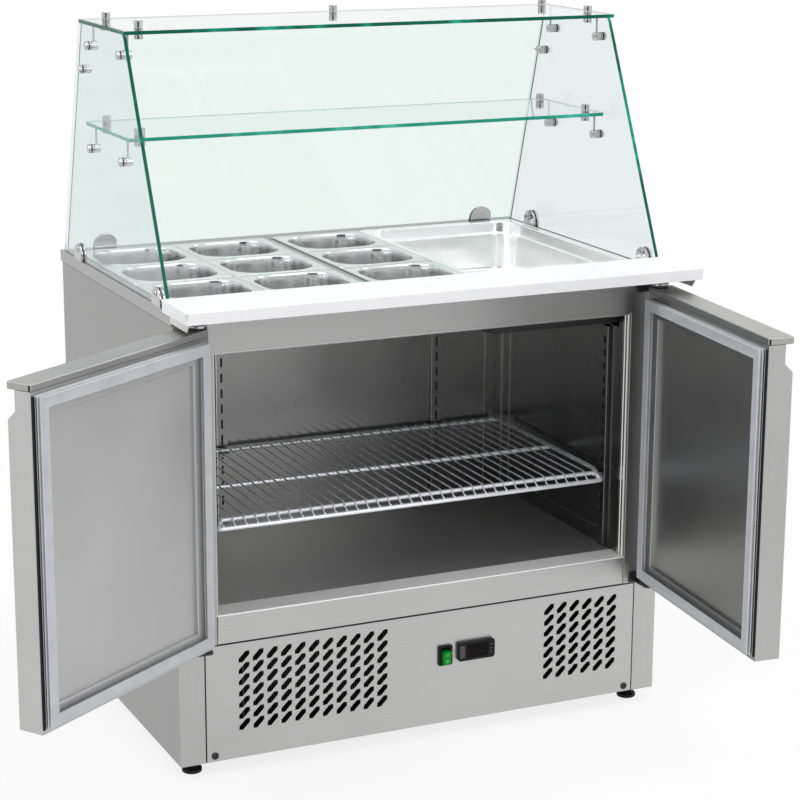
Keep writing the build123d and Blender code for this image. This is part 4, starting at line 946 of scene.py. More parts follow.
def make_lower_panel(plates):
    """The slotted panel: two fields of slots, and plain sheet round the switch and the controller."""
    low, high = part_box("lower_panel")
    start, end = PLAIN_MIDDLE
    meshes = [
        slot_field(plates, *LEFT_FIELD, low.x, start),
        slot_field(plates, *RIGHT_FIELD, end, high.x),
    ]
    bezel_low, bezel_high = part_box("switch_bezel")
    control_low, control_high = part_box("controller")
    lower, upper = bezel_low.z + BEHIND_RIM, bezel_high.z - BEHIND_RIM
    plain = bmesh.new()
    for left, right, bottom, top in (
        (start, end, low.z, lower),
        (start, end, upper, high.z),
        (start, bezel_low.x + BEHIND_RIM, lower, upper),
        (bezel_high.x - BEHIND_RIM, control_low.x + BEHIND_RIM, lower, upper),
        (control_high.x - BEHIND_RIM, end, lower, upper),
    ):
        box_faces(plain, (left, low.y, bottom), (right, low.y + SHEET, top))
    for bottom in (low.z, high.z - SHEET):
        box_faces(plain, (low.x, low.y + SHEET, bottom), (high.x, high.y, bottom + SHEET))
    meshes.append(finished(plain, "panel_middle"))
    piece("slotted_panel", joined_mesh("slotted_panel", meshes), ["lower_panel"])


# A screw's outline, in shares of its radius and its height
SCREW = ((0, 0), (1, 0), (1, 0.3), (0.8, 0.8), (0.45, 1), (0.36, 1), (0.32, 0.45), (0, 0.4))


def make_screws():
    low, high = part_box("panel_screws")
    radius = (high.z - low.z) / 2
    rise = high.y - low.y
    profile = [(radius * out, rise * up) for out, up in SCREW]
    meshes = [
        lathed("screw", profile, (x, high.y, (low.z + high.z) / 2), (0, -1, 0))
        for x in (low.x + radius, high.x - radius)
    ]
    piece("round_screws", joined_mesh("round_screws", meshes), ["panel_screws"], [BLACK_PAINT])


FOOT_PAD = 0.017
FOOT_STEM = 0.0125
FOOT_BASE = (
    (0, 0), (FOOT_PAD - 0.001, 0), (FOOT_PAD, 0.001), (FOOT_PAD, 0.006), (FOOT_PAD - 0.002, 0.008),
    (FOOT_STEM, 0.0085),
)
RIDGES = 6
RIDGE_START = 0.0095
RIDGE_PITCH = 0.0025
RIDGE_DEPTH = 0.001
RIDGE_HALF = 0.0007


def foot_profile(top):
    """A foot's outline: a wide pad, then a stem with grooves round it."""
    profile = list(FOOT_BASE)
    for ridge in range(RIDGES):
        height = RIDGE_START + ridge * RIDGE_PITCH
        profile += [
            (FOOT_STEM, height),
            (FOOT_STEM - RIDGE_DEPTH, height + RIDGE_HALF),
            (FOOT_STEM, height + 2 * RIDGE_HALF),
        ]
    return profile + [(FOOT_STEM, top), (0, top)]


def make_feet():
    low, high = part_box("feet")
    meshes = [
        lathed("foot", foot_profile(high.z), (x, y, 0), (0, 0, 1))
        for x in (low.x + FOOT_PAD, high.x - FOOT_PAD)
        for y in (low.y + FOOT_PAD, high.y - FOOT_PAD)
    ]
    piece("ribbed_feet", joined_mesh("ribbed_feet", meshes), ["feet"])


# Controls


ROCKER_PIVOT = (-0.292667, 0.150)
ROCKER_LEAN = math.radians(8)
ROCKER_FACE = 0.01883
ROCKER_MIDDLE = 0.00625
ROCKER_FACING = (0.972, 0.233)
ROCKER_RING = ((0.0015, -0.0003), (0.0024, -0.0003), (0.0024, 0.0003), (0.0015, 0.0003))
SWITCH_EDGE = 0.0009
ROCKER_EDGE = 0.0008
CONTROLLER_EDGE = 0.0012
WINDOW_EDGE = 0.0002
GRIP_SIDES = (0.003, 0.012)
GRIP_HALF = 0.011
GRIP_PROUD = 0.0006
KEY_SIDES = (0.009, 0.0055)
KEY_STEPS = (-0.007, 0, 0.007)
KEY_HALF = 0.0012
KEY_PROUD = 0.0005
KEY_ROOT = 0.001


def rocker_ring(middle, side):
    """One ring mark in the middle of the rocker's upper or lower face."""
    lean = Matrix.Rotation(ROCKER_LEAN, 3, "X")
    spot = lean @ Vector((0, -ROCKER_FACE, side * ROCKER_MIDDLE))
    facing = lean @ Vector((0, -ROCKER_FACING[0], -side * ROCKER_FACING[1]))
    center = (middle, ROCKER_PIVOT[0] + spot.y, ROCKER_PIVOT[1] + spot.z)
    return lathed("ring", ROCKER_RING, center, facing, 20)


def make_controls():
    softened("switch_frame", "switch_bezel", SWITCH_EDGE)
    softened("rocker", "rocker_switch", ROCKER_EDGE)
    low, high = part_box("rocker_switch")
    rings = [rocker_ring((low.x + high.x) / 2, side) for side in (-1, 1)]
    mesh = joined_mesh("rocker_rings", rings)
    piece("rocker_rings", mesh, ["rocker_switch"], [ROCKER_MARK], replaces=False)
    softened("controller_front", "controller", CONTROLLER_EDGE, outer_front, 4)
    softened("controller_pane", "controller_window", WINDOW_EDGE)
    low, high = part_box("controller")
    middle = (low.z + high.z) / 2
    grip = boxes("grip", (
        (low.x + GRIP_SIDES[0], low.y - GRIP_PROUD, middle - GRIP_HALF),
        (low.x + GRIP_SIDES[1], low.y + KEY_ROOT, middle + GRIP_HALF),
    ))
    piece("controller_grip", grip, ["controller"], [GRIP_PLASTIC], replaces=False)
    keys = boxes("keys", *(
        (
            (high.x - KEY_SIDES[0], low.y - KEY_PROUD, middle + step - KEY_HALF),
            (high.x - KEY_SIDES[1], low.y + KEY_ROOT, middle + step + KEY_HALF),
        )
        for step in KEY_STEPS
    ))
    piece("controller_keys", keys, ["controller"], [GRIP_PLASTIC], replaces=False)


# Compartment


SHELF_RAIL = 0.004
SHELF_WIRE = 0.0015
SHELF_CORNER = 0.014
SHELF_MIDDLE = -0.055
SHELF_WIRES = 36
SHELF_FALL = 0.026


def shelf_frame(left, right, front, back, upper, lower):
    """The outer rod: level along the sides and the back, and let down at the front round wide corners."""
    corner = SHELF_CORNER
    points = level_arc((left + corner, back - corner), corner, 90, 180, upper)
    points += [(left, front + corner + SHELF_FALL, upper)]
    points += level_arc((left + corner, front + corner), corner, 180, 270, lower)
    points += level_arc((right - corner, front + corner), corner, 270, 360, lower)
    points += [(right, front + corner + SHELF_FALL, upper)]
    points += level_arc((right - corner, back - corner), corner, 0, 90, upper)
    return tube("frame_rod", points, SHELF_RAIL, 12, closed=True)


def make_shelf(rows):
    """Wires that run over the back rod and the front rail and bend down to the frame's lowered front."""
    low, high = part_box("wire_shelf")
    left, right = low.x + SHELF_RAIL, high.x - SHELF_RAIL
    front, back = low.y + SHELF_RAIL, high.y - SHELF_RAIL
    top = high.z - 2 * SHELF_WIRE
    upper, lower = top - SHELF_RAIL, low.z + SHELF_RAIL
    rail_y = front + SHELF_CORNER
    span = high.x - low.x - 4 * SHELF_RAIL
    pitch = span / SHELF_WIRES
    path = [
        (0, back + 0.003, top + SHELF_WIRE),
        (0, rail_y + 0.003, top + SHELF_WIRE),
        (0, rail_y - 0.003, top),
        (0, rail_y - 0.006, top - 0.004),
        (0, front + 0.004, lower + SHELF_RAIL + 0.003),
        (0, front + 0.001, lower + SHELF_RAIL + SHELF_WIRE),
        (0, front - 0.002, lower + SHELF_RAIL + 0.001),
    ]
    wire = tube("wire", path, SHELF_WIRE, 8)
    start = (low.x + 2 * SHELF_RAIL + pitch / 2, 0, 0)
    ends = (
        (0.008, front + 0.003, lower + 0.002), (0.010, rail_y - 0.004, upper - 0.003), (0.018, rail_y, upper),
    )
    rail = [(left + inset, y, z) for inset, y, z in ends]
    rail += [(right - inset, y, z) for inset, y, z in ends[::-1]]
    middle = [(left, SHELF_MIDDLE, upper), (right, SHELF_MIDDLE, upper)]
    meshes = [
        repeated(rows, "wires", wire, SHELF_COATING, SHELF_WIRES, (pitch, 0, 0), start),
        shelf_frame(left, right, front, back, upper, lower),
        tube("front_rail", rail, SHELF_RAIL, 12),
        tube("middle_rod", middle, SHELF_RAIL, 12),
    ]
    piece("round_wire_shelf", joined_mesh("round_wire_shelf", meshes), ["wire_shelf"])


STRIP_PROUD = 0.003
STRIP_NOSE = 0.0004
RIB_STARTS = (0.0015, 0.0108)
RIB_PROUD = 0.0044
RIB_SLOPE = 0.0012
RIB_WIDTH = 0.0074
STRIP_SHARP = 40


def make_breaker_strip():
    """The bright profile round the opening, with two ribs along its inner face and a dull front edge."""
    low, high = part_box("breaker_strip")
    depth = high.y - low.y
    section = [(0.0, 0.0), (0.0, STRIP_PROUD - STRIP_NOSE), (STRIP_NOSE, STRIP_PROUD)]
    for start in RIB_STARTS:
        section += [
            (start, STRIP_PROUD),
            (start + RIB_SLOPE, RIB_PROUD),
            (start + RIB_WIDTH - RIB_SLOPE, RIB_PROUD),
            (start + RIB_WIDTH, STRIP_PROUD),
        ]
    section += [(depth, STRIP_PROUD), (depth, 0.0)]
    half = (high.x - low.x) / 2
    shape = bmesh.new()
    rings = []
    for back, proud in section:
        y, inner, top = low.y + back, half - proud, high.z - proud
        corners = ((-inner, y, low.z), (-inner, y, top), (inner, y, top), (inner, y, low.z))
        rings.append([shape.verts.new(corner) for corner in corners])
    for near, far in zip(rings, rings[1:] + rings[:1]):
        for index in range(3):
            shape.faces.new((near[index], near[index + 1], far[index + 1], far[index]))
    for end in (0, 3):
        shape.faces.new([ring[end] for ring in rings])
    mesh = finished(shape, "ribbed_strip", STRIP_SHARP)
    for face in mesh.polygons:
        face.material_index = 1 if face.normal.y < -FACING else 0
    piece("ribbed_strip", mesh, ["breaker_strip"], [BRIGHT_TRIM, OUTER_STEEL_UPRIGHT])


SIDE_CHANNEL = (-0.232, -0.211)
BACK_CHANNELS = ((-0.2055, -0.1845), (0.2295, 0.2505))
ON_SIDE_WALL = 0.36
LONG_FACE = 0.001
CHANNEL_SHEET = 0.002
CHANNEL_END = 0.004
CHANNEL_HOLLOW = 0.003
BACKING_HALF = 0.0005
SIDE_CORNER = (0.0062, 0.0050)
BACK_CORNER = (-0.0002, 0.0010)
SIDE_CORNER_PROUD = 0.0003
BACK_CORNER_PROUD = 0.0063
CORNER_DEPTH = 0.0010


def make_channel_backs():
    """Black sheets inside the channels: painted shade for the dark hollow that shows through their slots."""
    low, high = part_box("pilasters")
    bottom, top = low.z + CHANNEL_END, high.z - CHANNEL_END
    front, back = SIDE_CHANNEL[0] + CHANNEL_SHEET, SIDE_CHANNEL[1] - CHANNEL_SHEET
    spans = [
        ((side - BACKING_HALF, front, bottom), (side + BACKING_HALF, back, top))
        for side in (low.x + CHANNEL_HOLLOW, high.x - CHANNEL_HOLLOW)
    ]
    middle = high.y - CHANNEL_HOLLOW
    near, far = middle - BACKING_HALF, middle + BACKING_HALF
    spans += [
        ((left + CHANNEL_SHEET, near, bottom), (right - CHANNEL_SHEET, far, top))
        for left, right in BACK_CHANNELS
    ]
    piece("channel_backs", boxes("channel_backs", *spans), ["pilasters"], [BLACK_PAINT], replaces=False)


def make_channel_corners():
    """A bright strip along one corner of each channel: a painted highlight."""
    low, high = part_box("pilasters")
    sides = mirrored(*(high.x - inset for inset in SIDE_CORNER))
    corners = [(span, SIDE_CHANNEL[0] - SIDE_CORNER_PROUD) for span in sides]
    lefts = [channel[0] for channel in BACK_CHANNELS]
    corners += [
        ((left + BACK_CORNER[0], left + BACK_CORNER[1]), high.y - BACK_CORNER_PROUD) for left in lefts
    ]
    lines = [((span[0], y, low.z), (span[1], y + CORNER_DEPTH, high.z)) for span, y in corners]
    piece("channel_corners", boxes("channel_corners", *lines), ["pilasters"], [BRIGHT_TRIM], replaces=False)


def make_pilasters():
    """Slotted channels as dull as the walls; on those on the side walls the front face gets the dark base
    steel, as painted shade.
    """
    shape = welded_copy("pilasters")
    round_edges(shape, THIN_EDGE)
    mesh = finished(shape, "slotted_channels")
    for face in mesh.polygons:
        # the side channels' long front faces get the dark base steel: painted shade
        on_side = abs(face.center.x) > ON_SIDE_WALL
        face.material_index = 1 if on_side and face.normal.y < -FACING and face.area > LONG_FACE else 0
    piece("slotted_channels", mesh, ["pilasters"], [INNER_STEEL, BASE_STEEL_PAINTED_SHADE])
    make_channel_backs()
    make_channel_corners()
    softened("clip_brackets", "shelf_clips", SHEET_EDGE)


LIP_DEPTH = 0.048
LIP_SINK = 0.0004
LIP_PROUD = 0.0006
FLOOR_HEM = 0.0012
FLOOR_HEM_BACK = 0.0010
FLOOR_HEM_EDGE = 0.0009


def make_floor_lip():
    """A near-white strip along the floor's front edge, painted light for the sheen there, and a rounded hem
    in a near-white finish as a painted highlight.
    """
    low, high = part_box("breaker_strip")
    half, level = high.x, low.z
    strip = boxes(
        "floor_lip", ((-half, low.y, level - LIP_SINK), (half, low.y + LIP_DEPTH, level + LIP_PROUD)),
    )
    piece("floor_lip", strip, ["bottom_rail"], [FLOOR_LIP_PAINTED_LIGHT], replaces=False)
    hem = bmesh.new()
    box_faces(
        hem, (-half, low.y - FLOOR_HEM, level - FLOOR_HEM), (half, low.y + FLOOR_HEM_BACK, level + FLOOR_HEM),
    )
    round_edges(hem, FLOOR_HEM_EDGE)
    piece("floor_hem", finished(hem, "floor_hem"), ["bottom_rail"], [BRIGHT_HEM_PAINTED_HIGHLIGHT], replaces=False)


HEM_FOOT = 0.002
HEM_PROUD = 0.0012
HEM_WIDTH = 0.002
BACK_FLANGE = (0.344, 0.346)
UPSTAND_HEM = (0.028, 0.030)
FLOOR_SEAM = 0.0014
WALL_SEAM = (0.148, 0.150)


def make_liner_hems():
    """The folded hems of the liner's sheets, in a lighter copy of the liner steel as painted highlights:
    along the floor's upstands and beside the back corners.
    """
    low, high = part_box("pilasters")
    floor, top, back = low.z - HEM_FOOT, high.z, high.y
    front = SIDE_CHANNEL[1]
    walls = mirrored(high.x, high.x - HEM_PROUD)
    corners = mirrored(high.x, high.x - HEM_WIDTH)
    spans = []
    for wall, flange, corner in zip(walls, mirrored(*BACK_FLANGE), corners):
        spans += [
            ((wall[0], front, floor + UPSTAND_HEM[0]), (wall[1], back, floor + UPSTAND_HEM[1])),
            ((wall[0], front, floor), (wall[1], back, floor + FLOOR_SEAM)),
            ((wall[0], WALL_SEAM[0], floor), (wall[1], WALL_SEAM[1], top)),
            ((flange[0], back - HEM_PROUD, floor), (flange[1], back, top)),
            ((corner[0], back - HEM_WIDTH, floor), (corner[1], back, top)),
        ]
    piece("liner_hems", boxes("liner_hems", *spans), ["liner"], [LINER_HEM_HIGHLIGHT], replaces=False)


# Doors


class Door:
    """Places points on a door: how far from the pivot, how far towards the inner face, and how high."""

    def __init__(self, name, side, opening):
        self.name = name
        self.pivot = Vector((side * PIVOT_X, PIVOT_Y, 0))
        self.along = Vector((-side * math.cos(opening), -math.sin(opening), 0))
        self.inward = Vector((-side * math.sin(opening), math.cos(opening), 0))

    def point(self, reach, inner, height):
        return self.pivot + self.along * reach + self.inward * inner + Vector((0, 0, height))

    def measure(self, spot):
        offset = spot - self.pivot
        return offset.dot(self.along), offset.dot(self.inward)


GASKET_PROFILE = (
    (0.0060, 0.0190), (0.0060, 0.0205), (0.0006, 0.0214), (0.0001, 0.0222), (0.0008, 0.0231),
    (0.0045, 0.0238), (0.0047, 0.0252), (0.0012, 0.0264), (0.0003, 0.0275), (0.0005, 0.0289),
    (0.0018, 0.0297), (0.0026, 0.0294), (0.0160, 0.0294), (0.0172, 0.0297), (0.0186, 0.0290),
    (0.0189, 0.0278), (0.0180, 0.0266), (0.0142, 0.0254), (0.0142, 0.0240), (0.0164, 0.0232),
    (0.0168, 0.0222), (0.0142, 0.0210), (0.0136, 0.0190),
)
GASKET_SHARP = 38

# How far the gasket's foot is lifted past a depth, to clear the lower hinge bracket and its bolts
FOOT_ROOM = ((0.0245, 0.0031), (0.0220, 0.0012), (0.0, 0.0))


def gasket_ring(door):
    """The gasket's section carried round the door with mitred corners."""
    low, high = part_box(door.name + "_door_gasket")
    middle = (GASKET_HEEL + GASKET_END) / 2
    half = (GASKET_END - GASKET_HEEL) / 2
    rise = (high.z - low.z) / 2
    loops = []
    for inset, inner in GASKET_PROFILE:
        across, up = half - inset, rise - inset
        foot = next(room for start, room in FOOT_ROOM if inner > start) - up
        corners = ((-across, foot), (across, foot), (across, up), (-across, up))
        loops.append([(x, inner, z) for x, z in corners])

    def place(point):
        return door.point(middle + point[0], point[1], (low.z + high.z) / 2 + point[2])

    return lofted(door.name + "_gasket", loops, place, GASKET_SHARP, closed=True)


SKIN_EDGE = 0.0012
TRAY_EDGE = 0.0016
TRAY_BAND = 0.0005
CAP_EDGE = 0.0022
INSERT_REACH = (-0.002, 0.0004)
INSERT_DEPTH = (-0.0035, -0.0004)
INSERT_HEIGHT = (0.0012, -0.0016)
STRIP_GAP = 0.0008
STRIP_INSET = 0.0012
STRIP_DEPTH = 0.0028


def door_box(door, name, node, low, high, finish):
    """A small box on a door, between two of the door's own places."""
    shape = bmesh.new()
    box_faces(shape, low, high, door.point)
    piece(name, finished(shape, name), [node], [finish], replaces=False)


def make_cap_insert(door):
    low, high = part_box(door.name + "_door_cap")
    near, far = (
        (DOOR_REACH + reach, DOOR_FOLD + depth, end + height)
        for reach, depth, end, height in zip(INSERT_REACH, INSERT_DEPTH, (low.z, high.z), INSERT_HEIGHT)
    )
    door_box(door, door.name + "_cap_insert", door.name + "_door_cap", near, far, BLACK_PLASTIC)


def make_edge_strip(door):
    low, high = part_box(door.name + "_door_gasket")
    near = (GASKET_END + STRIP_GAP, DOOR_FOLD, low.z)
    far = (DOOR_REACH - STRIP_INSET, DOOR_FOLD + STRIP_DEPTH, high.z)
    door_box(door, door.name + "_edge_strip", door.name + "_door_skin", near, far, BLACK_PLASTIC)


def make_door(name, side, opening, steel, lining):
    door = Door(name, side, opening)

    def at_outside(start, end):
        measured = [door.measure(spot) for spot in (start, end)]
        return all(inner < DOOR_OUTER + NEAR or reach > DOOR_REACH - NEAR for reach, inner in measured)

    def at_rim(start, end):
        return all(door.measure(spot)[1] > TRAY_RIM - TRAY_BAND for spot in (start, end))

    piece(name + "_gasket_ring", gasket_ring(door), [name + "_door_gasket"])
    softened(name + "_outer_skin", name + "_door_skin", SKIN_EDGE, at_outside, 4, [steel])
    tray = welded_copy(name + "_door_inner_panel")
    bmesh.ops.connect_verts_concave(tray, faces=tray.faces)
    round_edges(tray, TRAY_EDGE, at_rim, 4)
    piece(name + "_inner_tray", finished(tray, name + "_inner_tray"), [name + "_door_inner_panel"], [lining])
    softened(name + "_top_cap", name + "_door_cap", CAP_EDGE, segments=5, finishes=[CAP_STEEL])
    make_cap_insert(door)
    make_edge_strip(door)


# Hinges

CARTRIDGE_HEIGHT = 0.011
CARTRIDGE = ((0, 0), (0.0145, 0), (0.015, 0.0006), (0.015, 0.0104), (0.0145, 0.011), (0, 0.011))
CARTRIDGE_RING = (
    (0.0145, 0.003), (0.0154, 0.003), (0.0157, 0.0038), (0.0157, 0.0062), (0.0154, 0.007), (0.0145, 0.007),
)
UPPER_PIN_LENGTH = 0.0145
UPPER_PIN = ((0, 0), (0.005, 0), (0.005, UPPER_PIN_LENGTH), (0, UPPER_PIN_LENGTH))
LOWER_PIN = ((0, 0), (0.005, 0), (0.005, 0.0175), (0.004, 0.018), (0, 0.018))


def make_hinges():
    softened("hinge_angles", "hinge_brackets")
    low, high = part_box("hinge_pins")
    base = high.z - CARTRIDGE_HEIGHT
    meshes, rings = [], []
    for x in (-PIVOT_X, PIVOT_X):
        meshes.append(lathed("cartridge", CARTRIDGE, (x, PIVOT_Y, base), (0, 0, 1), 32))
        meshes.append(lathed("upper_pin", UPPER_PIN, (x, PIVOT_Y, base - UPPER_PIN_LENGTH), (0, 0, 1)))
        meshes.append(lathed("lower_pin", LOWER_PIN, (x, PIVOT_Y, low.z), (0, 0, 1)))
        rings.append(lathed("cartridge_ring", CARTRIDGE_RING, (x, PIVOT_Y, base), (0, 0, 1), 32))
    piece("spring_cartridges", joined_mesh("spring_cartridges", meshes), ["hinge_pins"])
    mesh = joined_mesh("cartridge_rings", rings)
    trim = piece("cartridge_rings", mesh, ["hinge_pins"], [CLAMP_CHROME], replaces=False)
    softened("bolt_heads", "hinge_bolts", SHEET_EDGE)


# Glass stand


CLEAR_SHARE = 1 / 3
HIND_FACING = 0.5


def make_glass():
    """Each pane with clear faces and a ground edge."""
    for name, node, clear, edge in (
        ("left_side_pane", "left_side_glass", STAND_GLASS, GLASS_EDGE),
        ("right_side_pane", "right_side_glass", STAND_GLASS, GLASS_EDGE),
        ("back_pane", "back_glass", BACK_GLASS, GLASS_EDGE),
        ("top_pane", "top_shelf", SHELF_GLASS, GLASS_EDGE),
        ("middle_pane", "middle_shelf", SHELF_GLASS, PALE_GLASS_EDGE),
    ):
        shape = welded_copy(node)
        widest = max(face.calc_area() for face in shape.faces)
        for face in shape.faces:
            hind_edge = "side" in name and face.normal.y > HIND_FACING
            face.material_index = 0 if hind_edge or face.calc_area() > widest * CLEAR_SHARE else 1
        piece(name, finished(shape, name), [node], [clear, edge])


BUTTON_ABOVE = (
    (0, 0), (0.0072, 0), (0.0075, 0.0003), (0.0075, 0.0022), (0.0070, 0.0026), (0.0056, 0.0028),
    (0.0056, 0.0036), (0.0072, 0.0040), (0.0075, 0.0044), (0.0075, 0.0130), (0.0070, 0.0138),
    (0.0060, 0.0140), (0, 0.0140),
)
BUTTON_BELOW = (
    (0, 0), (0.0072, 0), (0.0075, 0.0003), (0.0075, 0.0022), (0.0060, 0.0026), (0.0060, 0.0034),
    (0.0072, 0.0038), (0.0075, 0.0042), (0.0075, 0.0094), (0.0070, 0.0100), (0, 0.0100),
)
BARREL = (
    (0, 0), (0.0075, 0), (0.0075, 0.0022), (0.0060, 0.0025), (0.0060, 0.0038), (0.0075, 0.0041),
    (0.0075, 0.0135), (0.0068, 0.0147), (0.0050, 0.0152), (0, 0.0152),
)
BARREL_ROD = 0.435
CAP = ((0, 0), (0.0075, 0), (0.0075, 0.0038), (0.0068, 0.0047), (0.0050, 0.0050), (0, 0.0050))
BOSS = (
    (0.0062, -0.001), (0.0062, 0.0004), (0.0056, 0.0012), (0.0046, 0.0014), (0.0030, 0.0014),
    (0.0026, 0.0004), (0.0026, -0.001),
)
ROUND_STEPS = 32
TURNED_SHARP = 20
CLAMP_X = 0.416
CLAMP_ROWS = (-0.062, 0.110)
INNER_FACE = 0.444
OUTER_FACE = 0.450
ROD_RADIUS = 0.002
STANDOFF_DROP = 0.035
BACK_STANDOFF = 1.130
BACK_REACH = 0.020
IN_THE_PANE = 0.0002
HALF_ROUND_ROWS = (-0.232, 0.190)
HALF_ROUND_X = 0.375
HALF_ROUND_PLATE = 0.004
HALF_ROUND_EDGE = 0.0008
HALF_ROUND_FLAT = 0.0002
BOSS_RISE = 0.020


def make_buttons():
    """The through clamps: a button above and one below the glass at every holding point."""
    points = [(x, y) for x in (-CLAMP_X, CLAMP_X) for y in CLAMP_ROWS]
    buttons = []
    for pane, spots in (("top_shelf", points + [(0, CLAMP_ROWS[1])]), ("middle_shelf", points)):
        low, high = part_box(pane)
        for x, y in spots:
            for outline, z, way in ((BUTTON_ABOVE, high.z, 1), (BUTTON_BELOW, low.z, -1)):
                buttons.append(lathed("button", outline, (x, y, z), (0, 0, way), ROUND_STEPS, TURNED_SHARP))
    piece("button_clamps", joined_mesh("button_clamps", buttons), ["through_clamps"])


def make_standoffs():
    """Barrels held to the side glasses by a cap outside, each with a rod to the pane that it carries."""
    heights = [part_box(pane)[0].z - STANDOFF_DROP for pane in ("top_shelf", "middle_shelf")]
    glass_low, glass_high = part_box("back_glass")
    face = glass_high.y - GLASS
    back_y = face - GLASS_RAKE * (BACK_STANDOFF + ROD_RADIUS - glass_low.z) - BACK_REACH
    meshes = []
    for side in (-1, 1):
        spots = [(y, z) for y in CLAMP_ROWS for z in heights]
        for y, z in spots + [(back_y, BACK_STANDOFF)]:
            for outline, x, way in ((BARREL, INNER_FACE, -side), (CAP, OUTER_FACE, side)):
                place = (side * x, y, z)
                meshes.append(lathed("turned", outline, place, (way, 0, 0), ROUND_STEPS, TURNED_SHARP))
        x = side * BARREL_ROD
        for y, z in spots:
            meshes.append(tube("rod", [(x, y, z), (x, y, z + STANDOFF_DROP)], ROD_RADIUS))
        pane_y = back_y + BACK_REACH + IN_THE_PANE
        meshes.append(tube("rod", [(x, back_y, BACK_STANDOFF), (x, pane_y, BACK_STANDOFF)], ROD_RADIUS))
    piece("standoff_barrels", joined_mesh("standoff_barrels", meshes), ["standoffs"])


def make_half_rounds():
    """Flat half round plates on both faces of the glass, with a turned boss in the middle of each."""
    shape = welded_copy("half_round_clamps")
    round_edges(shape, HALF_ROUND_EDGE, segments=3, least=60)
    plates = [finished(shape, "half_rounds", 40, flat_over=HALF_ROUND_FLAT)]
    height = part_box("back_glass")[0].z + BOSS_RISE
    lean = GLASS_RAKE * BOSS_RISE
    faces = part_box("half_round_clamps")[1].y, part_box("back_glass")[1].y - GLASS - HALF_ROUND_PLATE
    normal = Vector((0, 1, GLASS_RAKE)).normalized()
    for side in (-1, 1):
        for y in HALF_ROUND_ROWS:
            for x, way in ((INNER_FACE - HALF_ROUND_PLATE, -side), (OUTER_FACE + HALF_ROUND_PLATE, side)):
                plates.append(lathed("boss", BOSS, (side * x, y, height), (way, 0, 0)))
        for y, facing in zip(faces, (normal, -normal)):
            plates.append(lathed("boss", BOSS, (side * HALF_ROUND_X, y - lean, height), facing))
    piece("half_round_plates", joined_mesh("half_round_plates", plates), ["half_round_clamps"])


def make_clamps():
    make_buttons()
    make_standoffs()
    make_half_rounds()


# Pans


PAN_WALL_INSET = 0.01275
PAN_SHARP = 50
TIGHTEST_CORNER = 0.004
FOOT_STEPS = 6
FOOT_SHEET = PAN_SHEET * 0.7
WALL_DROP = 0.0004

# Each wall's outline: how far in from the mouth, and how far down from the rim
SMALL_WALLS = (
    (0.0, -0.0002), (0.0003, 0.0012), (0.0008, 0.004), (0.0014, 0.012), (0.0024, 0.030), (0.0034, 0.052),
)
LARGE_WALLS = (
    (0.0, -0.0002), (0.0003, 0.0012), (0.0006, 0.0175), (0.0012, 0.0192), (0.0036, 0.0198), (0.0044, 0.0208),
    (0.0048, 0.0230), (0.0052, 0.050), (0.0058, 0.084),
)

# The mouth's lip: how far out from the mouth, and how far over the rim
PAN_LIP = ((0.0004, 0.0007), (0.0010, 0.0010), (0.0014, 0.0010), (0.0022, 0.0010))

# The rolled edge: how far in from the outside, how much tighter its corners are, and how far over the rim
PAN_EDGE = (
    (0.0052, 0.003, 0.0010), (0.0044, 0.002, 0.0010), (0.0037, 0.001, 0.0014), (0.0026, 0, 0.0021),
    (0.0013, 0, 0.0020), (0.0004, 0, 0.0013), (0.0002, 0, 0.0005), (0.0010, 0, 0.0001),
)

# Under the rim: how far out from the mouth, how much wider its corners are, and how far over the rim
PAN_UNDER_RIM = (0.0025, 0.002, 0.0001)


def pan_mesh(name, low, high, mouth_corner, rim_corner, walls, foot_radius):
    """A thin closed shell: floor, walls, the mouth's lip, the rim with its rolled edge, and the outside."""
    center = (low + high) / 2
    half_x, half_y = (high.x - low.x) / 2, (high.y - low.y) / 2
    rim = high.z - PAN_SHEET
    mouth_x, mouth_y = half_x - PAN_WALL_INSET, half_y - PAN_WALL_INSET

    def bowl(inset, drop):
        return mouth_x - inset, mouth_y - inset, max(mouth_corner - inset, TIGHTEST_CORNER), rim - drop

    inner = [bowl(inset, drop) for inset, drop in walls]
    floor_drop = rim - low.z - PAN_SHEET
    turns = [math.radians(90 * step / FOOT_STEPS) for step in range(1, FOOT_STEPS + 1)]
    foot = [
        bowl(
            walls[-1][0] + foot_radius * (1 - math.cos(turn)),
            floor_drop - foot_radius * (1 - math.sin(turn)),
        )
        for turn in turns
    ]
    lip = [(mouth_x + out, mouth_y + out, mouth_corner + out, rim + over) for out, over in PAN_LIP]
    edge = [
        (half_x - inset, half_y - inset, rim_corner - tighter, rim + over)
        for inset, tighter, over in PAN_EDGE
    ]
    out, wider, over = PAN_UNDER_RIM
    outside = [(mouth_x + out, mouth_y + out, mouth_corner + wider, rim + over)]
    outside += [
        (x + PAN_SHEET, y + PAN_SHEET, corner + PAN_SHEET, z - WALL_DROP) for x, y, corner, z in inner
    ]
    outside += [(x + FOOT_SHEET, y + FOOT_SHEET, corner, z - FOOT_SHEET) for x, y, corner, z in foot]
    stations = foot[::-1] + inner[::-1] + lip + edge + outside
    loops = [[(x, y, z) for x, y in corner_loop(hx, hy, corner)] for hx, hy, corner, z in stations]
    mesh = lofted(name, loops, lambda p: (center.x + p[0], center.y + p[1], p[2]), PAN_SHARP)
    # the floor's underside and the whole outside get the near-black finish: painted shade
    painted_shade_from = 2 + (len(stations) - len(outside) - 1) * len(loops[0])
    for index, polygon in enumerate(mesh.polygons):
        polygon.material_index = 1 if index == 1 or index >= painted_shade_from else 0
    return mesh


